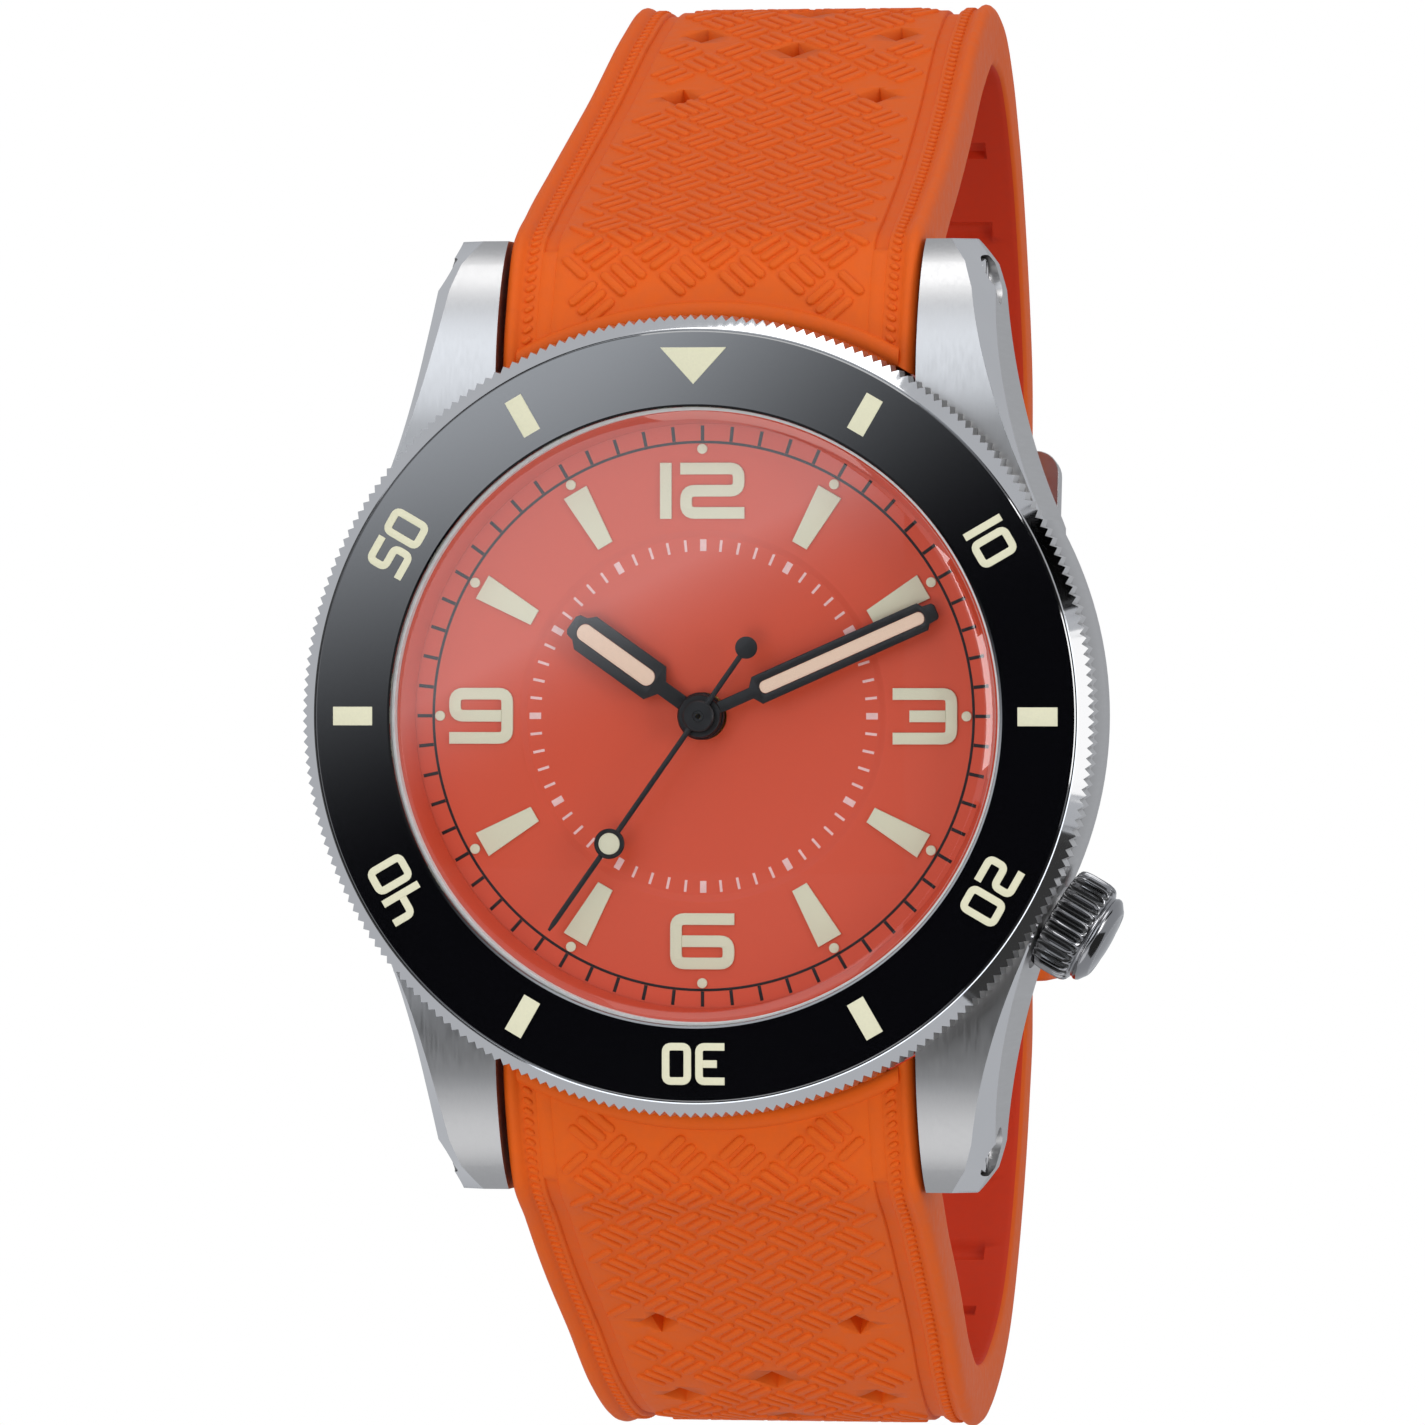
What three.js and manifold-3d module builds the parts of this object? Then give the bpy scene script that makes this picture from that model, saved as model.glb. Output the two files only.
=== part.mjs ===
// Dive watch with a quartz movement, a turning bezel, a screwed crown and a closed rubber strap.
// Millimetres. The watch is built face up (x to 3 o'clock, y to 12 o'clock, z out of the dial)
// and the whole group is then stood upright, so that the dial looks along -Y and 12 o'clock is +Z.
// The origin is the middle of the flat outer face of the case back.
import * as THREE from "three";
import { mergeVertices } from "three/addons/utils/BufferGeometryUtils.js";
import Module from "manifold-3d";

const wasm = await Module();
wasm.setup();
const rad = THREE.MathUtils.degToRad;

// ---------- driving dimensions ----------
const FIT = 0.05;
const FACETS = 36;
const SMALL_FACETS = 12;
const HOLE_FACETS = 8;

// Head: radii
const BEZEL_R = 21.0;
const BEZEL_TEETH = 80;
const BEZEL_BORE_R = 17.75;
const WIRE_Z = 10.32;
const WIRE_R = 0.22;
const BEZEL_TOOTH = 0.28;
const INSERT_OUT_R = 20.15;
const INSERT_IN_R = 16.13;
const CASE_R = 20.7;
const COLLAR_R = 17.6;
const SEAT_R = 16.5;
const CHAMBER_R = 15.4;
const BACK_R = 18.4;
const BACK_SCREW_CIRCLE = 17.5;
const BACK_SCREWS = 6;

// Head: heights above the outer face of the case back
const CASE_BOTTOM = 0.9;
const BACK_LEDGE = 1.6;
const DIAL_LEDGE = 9.0;
const CASE_TOP = 8.9;
const COLLAR_TOP = 11.8;
const DIAL_TOP = 9.4;
const BEZEL_BOTTOM = 9.15;
const BEZEL_SHOULDER = 11.3;
const INSERT_BOTTOM = 11.87;
const INSERT_TOP_IN = 12.4;
const INSERT_TOP_OUT = 12.15;
const CRYSTAL_R = 15.95;
const DIAL_R = 16.4;
const CRYSTAL_BOTTOM = 11.1;
const CRYSTAL_TOP = 12.9;

// Lugs and strap bars
const LUG_IN_X = 11.2;
const LUG_OUT_X = 14.95;
const LUG_TIP_Y = 25.15;
const BAR_Y = 23.0;
const BAR_Z = 4.1;
const BAR_R = 0.9;
const BAR_BORE = 0.65;
const LUG_SCREW_R = 0.55;
const LUG_SCREW_HEAD_R = 1.1;
const LUG_SCREW_FACE = 14.3;

// Crown, at 4 o'clock; lengths along its axis start at the middle of the dial
const CROWN_TURN = rad(-30);
const CROWN_Z = 5.3;
const CROWN_R = 2.85;
const CROWN_FLUTES = 28;
const CROWN_IN = 20.95;
const CROWN_SHOULDER = 23.15;
const CROWN_CAP = 24.2;
const TUBE_R = 1.6;
const TUBE_BORE = 0.75;
const TUBE_IN = 15.6;
const TUBE_OUT = 22.05;
const STEM_R = 0.5;
const CLUTCH = { from: 8.2, to: 9.6, r: 1.2 };
const STEM_GROOVE = { from: 10.85, to: 11.85, r: 0.3 };
const LEVER_ARM = 2.6;

// Movement: heights and places
const PLATE_R = 12.85;
const PLATE_BOTTOM = 5.9;
const PLATE_TOP = 6.9;
const BRIDGE_BOTTOM = 2.3;
const BRIDGE_TOP = 2.9;
const PIVOT_R = 0.14;
const ARBOR_R = 0.24;
const TRAIN_REACH = 3.4;
const MOTION_REACH = 3.36;
const BATTERY = { x: -7.68, y: 1.35, r: 4.75, from: 2.5, to: 4.6 };
const PILLARS = [[2.9, -6.9], [4.9, 1.2]];

// Hands: clockwise from 12 o'clock, in degrees, and heights
const HOUR = { at: 305.3, from: 9.8, to: 9.98 };
const MINUTE = { at: 66.2, from: 10.2, to: 10.38 };
const SECOND = { at: 215.3, from: 10.62, to: 10.76 };

// Strap: the outer face runs along [y, z] points from the case over the top and down the back
const STRAP_WIDE = 22.0;
const STRAP_NARROW = 20.0;
const STRAP_BACK_Z = -43.7;
const STRAP_THICK = 3.0;
const STRAP_ROOT_THICK = 4.5;
const TAIL_THICK = 2.6;
const TAIL_END_Y = -18.0;
const LAYER_GAP = 0.4;
const LOOP = [
  [17.5, 8.45], [21.0, 7.6], [25.1, 5.4], [26.9, 1.7], [29.5, -4.6], [33.5, -13.6], [37.6, -22.0],
  [39.4, -27.6], [38.5, -32.6], [36.0, -35.8], [33.1, -38.0], [29.7, -40.0], [22.9, -42.7],
  [18.8, STRAP_BACK_Z], [14.0, STRAP_BACK_Z],
];

const LOW_LOOP = [
  ...LOOP.slice(0, 3), [27.2, 1.9], [30.3, -3.0], [33.6, -8.6], [36.9, -13.8], [39.1, -19.5], [39.3, -25.5],
  [37.8, -30.5], [35.2, -34.6], [31.5, -37.8], [26.5, -40.8], [22.0, -42.7], [18.8, STRAP_BACK_Z],
  [14.0, STRAP_BACK_Z],
];

// Buckle
const HINGE_Y = -3.6;
const HINGE_Z = STRAP_BACK_Z + STRAP_THICK / 2;
const HINGE_R = 0.75;
const HINGE_TIP_R = 0.4;
const FRAME_OUT_X = 11.3;
const FRAME_IN_X = 10.4;
const FRAME_LENGTH = 18.6;
const FRAME_THICK = 1.5;
const FRAME_TILT = rad(-10);
const TANG_HALF = 1.2;
const TANG_THICK = 1.1;
const TANG_TILT = rad(-15.5);
const KEEPER_WALL = 1.0;
const KEEPER_LENGTH = 4.0;
const FIXED_KEEPER_Y = -10.8;
const SLIDING_KEEPER_Y = -15.4;

// ---------- materials ----------
const material = (color, roughness, metalness, extra = {}) =>
  new THREE.MeshStandardMaterial({ color, roughness, metalness, ...extra });
const BRUSHED_STEEL = material(0xc4c2c0, 0.36, 1.0);
const POLISHED_STEEL = material(0xd6d6d8, 0.12, 1.0);
const BLACK_INSERT = material(0x08090c, 0.12, 0.0);
const DIAL_ORANGE = material(0xcb543f, 0.55, 0.0);
const HAND_BLACK = material(0x141414, 0.5, 0.2);
const STRAP_ORANGE = material(0xe25f23, 0.55, 0.0);
const SAPPHIRE = material(0xf4f8fb, 0.03, 0.0, { transparent: true, opacity: 0.2 });
const BLACK_RUBBER = material(0x151515, 0.7, 0.0);
const BRASS = material(0xc9a24f, 0.3, 1.0);
const COPPER = material(0xb5622d, 0.35, 1.0);
const BOARD_GREEN = material(0x1d6b3c, 0.55, 0.0);
const WHITE_PLASTIC = material(0xe6e4dc, 0.6, 0.0);

// ---------- joining and cutting ----------
// A closed three.js geometry becomes a manifold solid, wound so that its faces point out.
function toSolid(geometry) {
  const bare = geometry.clone();
  for (const name of ["normal", "uv"]) bare.deleteAttribute(name);
  const merged = mergeVertices(bare, 1e-5);
  const points = merged.attributes.position;
  const index = merged.index.array;
  const triangles = [];
  const [a, b, c] = [new THREE.Vector3(), new THREE.Vector3(), new THREE.Vector3()];
  let volume = 0;
  for (let i = 0; i < index.length; i += 3) {
    const [p, q, r] = [index[i], index[i + 1], index[i + 2]];
    if (p === q || q === r || r === p) continue;
    triangles.push([p, q, r]);
    a.fromBufferAttribute(points, p);
    b.fromBufferAttribute(points, q);
    c.fromBufferAttribute(points, r);
    volume += a.dot(b.cross(c));
  }
  if (volume < 0) triangles.forEach((triangle) => triangle.reverse());
  return new wasm.Manifold(new wasm.Mesh({
    numProp: 3,
    vertProperties: new Float32Array(points.array),
    triVerts: new Uint32Array(triangles.flat()),
  }));
}

function toGeometry(piece) {
  const { vertProperties, triVerts } = piece.getMesh();
  const geometry = new THREE.BufferGeometry();
  geometry.setAttribute("position", new THREE.BufferAttribute(new Float32Array(vertProperties), 3));
  geometry.setIndex(new THREE.BufferAttribute(new Uint32Array(triVerts), 1));
  return geometry;
}

const join = (first, ...more) =>
  toGeometry(more.reduce((whole, piece) => whole.add(toSolid(piece)), toSolid(first)));
const cut = (first, ...tools) =>
  toGeometry(tools.reduce((whole, tool) => whole.subtract(toSolid(tool)), toSolid(first)));
const common = (first, second) => toGeometry(toSolid(first).intersect(toSolid(second)));

// ---------- basic shapes ----------
// A lathe around z: the [radius, height] profile starts and ends on the axis, or closes on itself.
function turned(profile, segments = FACETS) {
  const points = profile.map(([r, z]) => new THREE.Vector2(r, z));
  const open = profile[0][0] > 0 || profile[profile.length - 1][0] > 0;
  if (open) points.push(points[0].clone());
  return new THREE.LatheGeometry(points, segments).rotateX(Math.PI / 2);
}

const disc = (r, z0, z1, segments) => turned([[0, z0], [r, z0], [r, z1], [0, z1]], segments);
const ring = (r0, r1, z0, z1, segments) => turned([[r0, z0], [r1, z0], [r1, z1], [r0, z1]], segments);
function pushed(shape, z0, z1, curveSegments = 8) {
  const options = { depth: z1 - z0, bevelEnabled: false, curveSegments };
  return new THREE.ExtrudeGeometry(shape, options).translate(0, 0, z0);
}

const box = (x0, x1, y0, y1, z0, z1) =>
  new THREE.BoxGeometry(x1 - x0, y1 - y0, z1 - z0).translate((x0 + x1) / 2, (y0 + y1) / 2, (z0 + z1) / 2);
const polygon = (points) => new THREE.Shape(points.map(([x, y]) => new THREE.Vector2(x, y)));

// A shape drawn as [y, z], pushed along x.
const pushedAlongX = (shape, x0, x1, curveSegments) =>
  pushed(shape, x0, x1, curveSegments).applyMatrix4(new THREE.Matrix4().makeBasis(
    new THREE.Vector3(0, 1, 0), new THREE.Vector3(0, 0, 1), new THREE.Vector3(1, 0, 0),
  ));

// A piece turned around z is laid down so that its axis becomes the x axis.
const alongX = (geometry) => geometry.rotateY(Math.PI / 2);
const rodX = (r, x0, x1, y, z, segments = 16) => alongX(disc(r, x0, x1, segments)).translate(0, y, z);
const toCrown = (geometry) => geometry.translate(0, 0, CROWN_Z).rotateZ(CROWN_TURN);

// Everything on the positive side of a plane, within reach of the watch.
function beyond(point, normal) {
  const reach = 40;
  const facing = new THREE.Vector3(...normal).normalize();
  const turn = new THREE.Quaternion().setFromUnitVectors(new THREE.Vector3(0, 0, 1), facing);
  return new THREE.BoxGeometry(reach, reach, 8).translate(0, 0, 4).applyQuaternion(turn).translate(...point);
}

function roundedBar(x0, x1, y0, y1, radius) {
  const shape = new THREE.Shape();
  shape.absarc(x1 - radius, y0 + radius, radius, -Math.PI / 2, 0);
  shape.absarc(x1 - radius, y1 - radius, radius, 0, Math.PI / 2);
  shape.absarc(x0 + radius, y1 - radius, radius, Math.PI / 2, Math.PI);
  shape.absarc(x0 + radius, y0 + radius, radius, Math.PI, 1.5 * Math.PI);
  return shape;
}

// A ring of V-shaped teeth; one tooth points at the phase angle.
function toothedShape(teeth, tipR, rootR, phase = 0) {
  const points = [];
  for (let i = 0; i < 2 * teeth; i += 1) {
    const r = i % 2 ? rootR : tipR;
    const angle = phase + (i * Math.PI) / teeth;
    points.push([r * Math.cos(angle), r * Math.sin(angle)]);
  }
  return polygon(points);
}

// ---------- the scene graph ----------
const watch = new THREE.Group();
watch.rotation.x = Math.PI / 2;
const crownGroup = new THREE.Group();
crownGroup.rotation.z = CROWN_TURN;
crownGroup.position.z = CROWN_Z;
const buckleGroup = new THREE.Group();
buckleGroup.position.set(0, HINGE_Y, HINGE_Z);
watch.add(crownGroup, buckleGroup);

function add(name, geometry, surface, { x = 0, y = 0, z = 0, turn = 0, tilt = 0, parent = watch } = {}) {
  const closed = toGeometry(toSolid(geometry));
  closed.computeVertexNormals();
  const mesh = new THREE.Mesh(closed, surface);
  mesh.name = name;
  mesh.position.set(x, y, z);
  mesh.rotation.set(tilt, 0, turn);
  parent.add(mesh);
}

// ---------- mid case ----------
const BACK_SCREW_ANGLES = Array.from({ length: BACK_SCREWS }, (_, i) => rad(30 + (i * 360) / BACK_SCREWS));

function lug() {
  const plan = new THREE.Shape();
  plan.moveTo(LUG_IN_X, 13.5);
  plan.lineTo(15.5, 8.5);
  plan.lineTo(18.1, 10.0);
  plan.bezierCurveTo(16.4, 13.6, LUG_OUT_X + 0.35, 18.0, LUG_OUT_X, 22.5);
  plan.lineTo(LUG_OUT_X - 0.35, LUG_TIP_Y - 1.25);
  plan.lineTo(LUG_OUT_X - 1.15, LUG_TIP_Y);
  plan.lineTo(LUG_IN_X, LUG_TIP_Y);
  const side = new THREE.Shape();
  side.moveTo(8, CASE_BOTTOM);
  side.lineTo(22.5, CASE_BOTTOM);
  side.quadraticCurveTo(24.6, 1.2, 25.0, 3.0);
  side.lineTo(LUG_TIP_Y, 5.1);
  side.quadraticCurveTo(23.6, 7.4, 19.5, 8.5);
  side.quadraticCurveTo(17.6, 8.86, 15.5, CASE_TOP);
  side.lineTo(8, CASE_TOP);
  const raw = common(pushed(plan, 0, 10, 5), pushedAlongX(side, 10, 19, 3));
  const bevelled = cut(raw, beyond([14.9, 18, 7.2], [0.92, 0.25, 0.3]));
  const head = rodX(LUG_SCREW_HEAD_R + 0.2, LUG_SCREW_FACE - 0.75, 17, BAR_Y, BAR_Z, 14);
  return cut(bevelled, head, rodX(LUG_SCREW_R + 0.1, 10, 16, BAR_Y, BAR_Z, SMALL_FACETS));
}

function midCase() {
  const body = turned([
    [0, CASE_BOTTOM], [19.4, CASE_BOTTOM], [CASE_R, 3.0], [CASE_R, 8.6], [20.3, CASE_TOP],
    [COLLAR_R, CASE_TOP], [COLLAR_R, 10.05], [17.3, 10.05], [17.3, 10.6], [COLLAR_R, 10.6],
    [COLLAR_R, COLLAR_TOP], [0, COLLAR_TOP],
  ]);
  const inside = turned([
    [0, 0], [BACK_R + 0.15, 0], [BACK_R + 0.15, BACK_LEDGE], [16.6, BACK_LEDGE], [16.6, 2.15],
    [15.9, 2.15], [15.9, BACK_LEDGE], [CHAMBER_R, BACK_LEDGE], [CHAMBER_R, DIAL_LEDGE],
    [SEAT_R, DIAL_LEDGE], [SEAT_R, 13], [0, 13],
  ]);
  const lugs = [[1, 1], [-1, 1], [1, -1], [-1, -1]].map(([sx, sy]) => lug().scale(sx, sy, 1));
  const screwHoles = BACK_SCREW_ANGLES.map((angle) =>
    disc(0.42, 1, 3.4, HOLE_FACETS).translate(BACK_SCREW_CIRCLE, 0, 0).rotateZ(angle));
  const tubeHole = toCrown(alongX(disc(TUBE_R + FIT, 13, 23, 16)));
  const crownSeat = toCrown(alongX(disc(CROWN_R + 0.25, CROWN_IN - 0.1, 27, 24)));
  return cut(join(body, ...lugs), inside, tubeHole, crownSeat, ...screwHoles);
}

add("mid_case", midCase(), BRUSHED_STEEL);

// ---------- case back ----------
function caseBack() {
  const plate = turned([
    [0, 0], [18.1, 0], [BACK_R, 0.3], [BACK_R, 1.55], [15.25, 1.55], [15.25, 1.85], [0, 1.85],
  ]);
  const holes = BACK_SCREW_ANGLES.map((angle) =>
    turned([[0, -1], [0.83, -1], [0.83, 0.55], [0.45, 0.55], [0.45, 2], [0, 2]], HOLE_FACETS)
      .translate(BACK_SCREW_CIRCLE, 0, 0).rotateZ(angle));
  return cut(plate, ...holes);
}

function backScrew() {
  const screw = turned([[0, 0.1], [0.78, 0.1], [0.78, 0.5], [0.38, 0.5], [0.38, 3.2], [0, 3.2]], HOLE_FACETS);
  return cut(screw, box(-1, 1, -0.11, 0.11, 0, 0.3));
}

add("case_back", caseBack(), BRUSHED_STEEL);
add("case_back_gasket", ring(15.95, 16.55, 1.64, 2.1), BLACK_RUBBER);
BACK_SCREW_ANGLES.forEach((angle, i) => {
  const [x, y] = [BACK_SCREW_CIRCLE * Math.cos(angle), BACK_SCREW_CIRCLE * Math.sin(angle)];
  add(`case_back_screw_${i + 1}`, backScrew(), POLISHED_STEEL, { x, y, turn: angle });
});

// ---------- bezel ----------
function bezelRing() {
  const teeth = pushed(toothedShape(BEZEL_TEETH, BEZEL_R, BEZEL_R - BEZEL_TOOTH), 9, 13);
  const insertSeat = INSERT_BOTTOM - FIT;
  const grooveR = BEZEL_BORE_R + 0.35;
  const profile = turned([
    [BEZEL_BORE_R, BEZEL_BOTTOM], [20.6, BEZEL_BOTTOM], [21.2, 9.6], [21.2, BEZEL_SHOULDER - 0.1],
    [INSERT_OUT_R + 0.1, 12.1], [INSERT_OUT_R + FIT, insertSeat], [BEZEL_BORE_R, insertSeat],
    [BEZEL_BORE_R, WIRE_Z + 0.33], [grooveR, WIRE_Z + 0.33], [grooveR, WIRE_Z - 0.32],
    [BEZEL_BORE_R, WIRE_Z - 0.32],
  ]);
  return common(teeth, profile);
}

function clickSpring() {
  const [bottom, top] = [CASE_TOP + 0.03, CASE_TOP + 0.16];
  const tabs = [0, 120, 240].map((turn) => box(18.9, 19.9, -1.6, 1.6, bottom, top).rotateZ(rad(turn + 15)));
  return join(ring(18.2, 19.2, bottom, top), ...tabs);
}

// A round wire bent to an open ring that snaps into facing grooves of the collar and the bezel.
function retainingWire() {
  const bendR = COLLAR_R + 0.06;
  const path = new THREE.CatmullRomCurve3(Array.from({ length: 37 }, (_, i) => {
    const angle = rad(100 + i * 9.5);
    return new THREE.Vector3(bendR * Math.cos(angle), bendR * Math.sin(angle), WIRE_Z);
  }));
  const section = new THREE.Shape();
  section.absarc(0, 0, WIRE_R, 0, 2 * Math.PI);
  const options = { extrudePath: path, steps: 32, bevelEnabled: false, curveSegments: 3 };
  return new THREE.ExtrudeGeometry(section, options);
}

add("bezel_ring", bezelRing(), BRUSHED_STEEL);
add("bezel_insert", turned([
  [INSERT_IN_R, INSERT_BOTTOM], [INSERT_OUT_R, INSERT_BOTTOM], [INSERT_OUT_R, INSERT_TOP_OUT],
  [INSERT_IN_R, INSERT_TOP_IN],
]), BLACK_INSERT);
add("bezel_click_spring", clickSpring(), POLISHED_STEEL);
add("bezel_retaining_wire", retainingWire(), POLISHED_STEEL);

// ---------- crystal and dial ----------
add("crystal", turned([
  [0, CRYSTAL_BOTTOM], [CRYSTAL_R, CRYSTAL_BOTTOM], [CRYSTAL_R, CRYSTAL_TOP - 0.4],
  [CRYSTAL_R - 0.45, CRYSTAL_TOP], [0, CRYSTAL_TOP],
]), SAPPHIRE);
add("crystal_gasket", ring(CRYSTAL_R + FIT, SEAT_R - FIT, CRYSTAL_BOTTOM, COLLAR_TOP), WHITE_PLASTIC);
add("flange_ring", ring(15.45, DIAL_R, DIAL_TOP + FIT, CRYSTAL_BOTTOM - FIT), DIAL_ORANGE);
add("dial", ring(1.25, DIAL_R, DIAL_LEDGE + 0.02, DIAL_TOP), DIAL_ORANGE);

// ---------- hands ----------
// A flat hand pointing to 12 o'clock, from [distance, half width] stations on both sides.
function blade(stations, z0, z1) {
  const right = stations.map(([y, half]) => [half, y]);
  const left = stations.map(([y, half]) => [-half, y]).reverse();
  return pushed(polygon([...right, ...left]), z0, z1);
}

function hourHand() {
  const { from, to } = HOUR;
  const paddle = blade([
    [0, 0.39], [2.6, 0.39], [3.0, 1.05], [7.6, 1.05], [7.9, 0.65], [8.3, 0.65], [8.45, 0.45],
  ], from, to);
  const slot = blade([[3.1, 0.2], [3.4, 0.475], [7.2, 0.475], [7.55, 0.2]], from - 1, to + 1);
  return cut(join(paddle, disc(1.25, from, to, 20)), slot, disc(1.05, from - 1, to + 1, 20));
}

function minuteHand() {
  const { from, to } = MINUTE;
  const paddle = blade([
    [0, 0.31], [3.1, 0.31], [3.4, 0.77], [12.9, 0.77], [13.1, 0.45], [13.6, 0.45], [13.7, 0.3],
  ], from, to);
  const slot = blade([[3.5, 0.14], [3.75, 0.34], [12.4, 0.34], [12.7, 0.14]], from - 1, to + 1);
  return cut(join(paddle, disc(1.15, from, to, 20)), slot, disc(0.77, from - 1, to + 1, 16));
}

function secondHand() {
  const { from, to } = SECOND;
  const lumeY = 8.2;
  const weightR = 0.585;
  const rod = blade([[-4.4, 0.15], [13.3, 0.15], [13.8, 0.06]], from, to);
  const lumeRing = disc(0.8, from, to, 16).translate(0, lumeY, 0);
  const weight = disc(weightR, from, to, SMALL_FACETS).translate(0, -4.4, 0);
  const lumeHole = disc(weightR, from - 1, to + 1, 16).translate(0, lumeY, 0);
  const hubHole = disc(0.22, from - 1, to + 1, 10);
  return cut(join(rod, disc(0.83, from, to, 20), lumeRing, weight), hubHole, lumeHole);
}

add("hour_hand", hourHand(), HAND_BLACK, { turn: -rad(HOUR.at) });
add("minute_hand", minuteHand(), HAND_BLACK, { turn: -rad(MINUTE.at) });
add("second_hand", secondHand(), HAND_BLACK, { turn: -rad(SECOND.at) });

// ---------- gear train ----------
const gearCentre = (reach, degreesFrom3, from = [0, 0]) =>
  [from[0] + reach * Math.cos(rad(degreesFrom3)), from[1] + reach * Math.sin(rad(degreesFrom3))];

// Places on the main plate
const TOWARDS = { intermediate: 60, rotor: 100, third: -90, minute: -30 };
const INTERMEDIATE_AT = gearCentre(3.36, TOWARDS.intermediate);
const ROTOR_AT = gearCentre(2.52, TOWARDS.rotor, INTERMEDIATE_AT);
const THIRD_AT = gearCentre(TRAIN_REACH, TOWARDS.third);
const MINUTE_AT = gearCentre(MOTION_REACH, TOWARDS.minute);
const SETTING_REACH = 0.14 * (36 + 14) / 2;
const SETTING_AT = gearCentre(SETTING_REACH, TOWARDS.minute, MINUTE_AT);

// Modules of the meshing pairs, from the distance between their centres and their teeth
const ROTOR_MODULE = 0.12;
const SECOND_MODULE = 0.14;
const THIRD_MODULE = 0.1;
const CENTRE_MODULE = (2 * TRAIN_REACH) / (6 + 48);
const MINUTE_MODULE = 0.14;
const HOUR_MODULE = (2 * MOTION_REACH) / (10 + 40);

// Phase of a gear so that its gap takes the tooth of its neighbour, which lies back along the direction.
function meshPhase(neighbourTeeth, neighbourPhase, directionDegrees, teeth) {
  const direction = rad(directionDegrees);
  const pitch = (2 * Math.PI) / teeth;
  const behind = (direction - neighbourPhase) / ((2 * Math.PI) / neighbourTeeth);
  return direction + Math.PI + (behind - Math.floor(behind)) * pitch + pitch / 2;
}

function gear(teeth, module, z0, z1, phase = 0) {
  const pitchR = (module * teeth) / 2;
  return pushed(toothedShape(teeth, pitchR + 0.35 * module, pitchR - 1.05 * module, phase), z0, z1);
}

const arbor = (from, to) => turned([
  [0, BRIDGE_BOTTOM + 0.2], [PIVOT_R, BRIDGE_BOTTOM + 0.2], [PIVOT_R, from], [ARBOR_R, from],
  [ARBOR_R, to], [PIVOT_R, to], [PIVOT_R, PLATE_BOTTOM + 0.4], [0, PLATE_BOTTOM + 0.4],
], HOLE_FACETS);

function rotor() {
  const pinion = gear(6, ROTOR_MODULE, 4.1, 4.7, rad(TOWARDS.rotor + 180));
  return join(arbor(3.0, 5.8), pinion, disc(0.75, 3.15, 4.05, SMALL_FACETS));
}

function intermediateWheel() {
  const back = TOWARDS.rotor + 180;
  const wheel = gear(36, ROTOR_MODULE, 4.3, 4.5, meshPhase(6, rad(back), back, 36));
  const pinion = gear(8, SECOND_MODULE, 3.2, 3.75, meshPhase(40, 0, TOWARDS.intermediate, 8));
  return join(arbor(3.0, 5.8), wheel, pinion);
}

function secondWheel() {
  const shaft = turned([
    [0, 2.5], [PIVOT_R, 2.5], [PIVOT_R, 3.0], [ARBOR_R, 3.0], [ARBOR_R, 4.3],
    [0.2, 4.3], [0.2, 10.74], [0, 10.74],
  ], HOLE_FACETS);
  return join(shaft, gear(40, SECOND_MODULE, 3.3, 3.55), gear(8, THIRD_MODULE, 3.5, 4.25));
}

function thirdWheel() {
  const wheel = gear(60, THIRD_MODULE, 3.85, 4.05, meshPhase(8, 0, TOWARDS.third, 60));
  const pinion = gear(6, CENTRE_MODULE, 4.0, 5.1, meshPhase(48, 0, TOWARDS.third, 6));
  return join(arbor(3.0, 5.8), wheel, pinion);
}

function centreWheel() {
  const bore = 0.3;
  const hub = ring(bore, 0.8, 4.65, 5.0, SMALL_FACETS);
  const tube = ring(bore, 0.5, 4.65, 8.6, SMALL_FACETS);
  return join(cut(gear(48, CENTRE_MODULE, 4.7, 4.95), disc(bore, 4, 6, SMALL_FACETS)), hub, tube);
}

function cannonPinion() {
  const bore = 0.55;
  const tube = ring(bore, 0.72, 7.0, 10.42, SMALL_FACETS);
  return join(cut(gear(12, MINUTE_MODULE, 7.0, 7.7), disc(bore, 6, 8, SMALL_FACETS)), tube);
}

function minuteWheel() {
  const wheel = gear(36, MINUTE_MODULE, 7.05, 7.3, meshPhase(12, 0, TOWARDS.minute, 36));
  const pinion = gear(10, HOUR_MODULE, 7.25, 8.2, meshPhase(40, 0, TOWARDS.minute, 10));
  return cut(join(wheel, pinion), disc(0.34, 7, 9, 12));
}

function hourWheel() {
  const bore = 0.8;
  const tube = ring(bore, 1.0, 7.85, 10.0, SMALL_FACETS);
  return join(cut(gear(40, HOUR_MODULE, 7.9, 8.1), disc(bore, 7, 9, SMALL_FACETS)), tube);
}

function settingWheel() {
  const phase = meshPhase(36, meshPhase(12, 0, TOWARDS.minute, 36), TOWARDS.minute, 14);
  return join(gear(14, MINUTE_MODULE, 6.7, 7.3, phase), disc(0.25, 6.0, 7.5, 12));
}

const place = ([x, y]) => ({ x, y });
add("rotor", rotor(), POLISHED_STEEL, place(ROTOR_AT));
add("intermediate_wheel", intermediateWheel(), BRASS, place(INTERMEDIATE_AT));
add("second_wheel", secondWheel(), BRASS);
add("third_wheel", thirdWheel(), BRASS, place(THIRD_AT));
add("centre_wheel", centreWheel(), BRASS);
add("cannon_pinion", cannonPinion(), BRASS);
add("minute_wheel", minuteWheel(), BRASS, place(MINUTE_AT));
add("hour_wheel", hourWheel(), BRASS);
add("setting_wheel", settingWheel(), POLISHED_STEEL, place(SETTING_AT));

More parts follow.
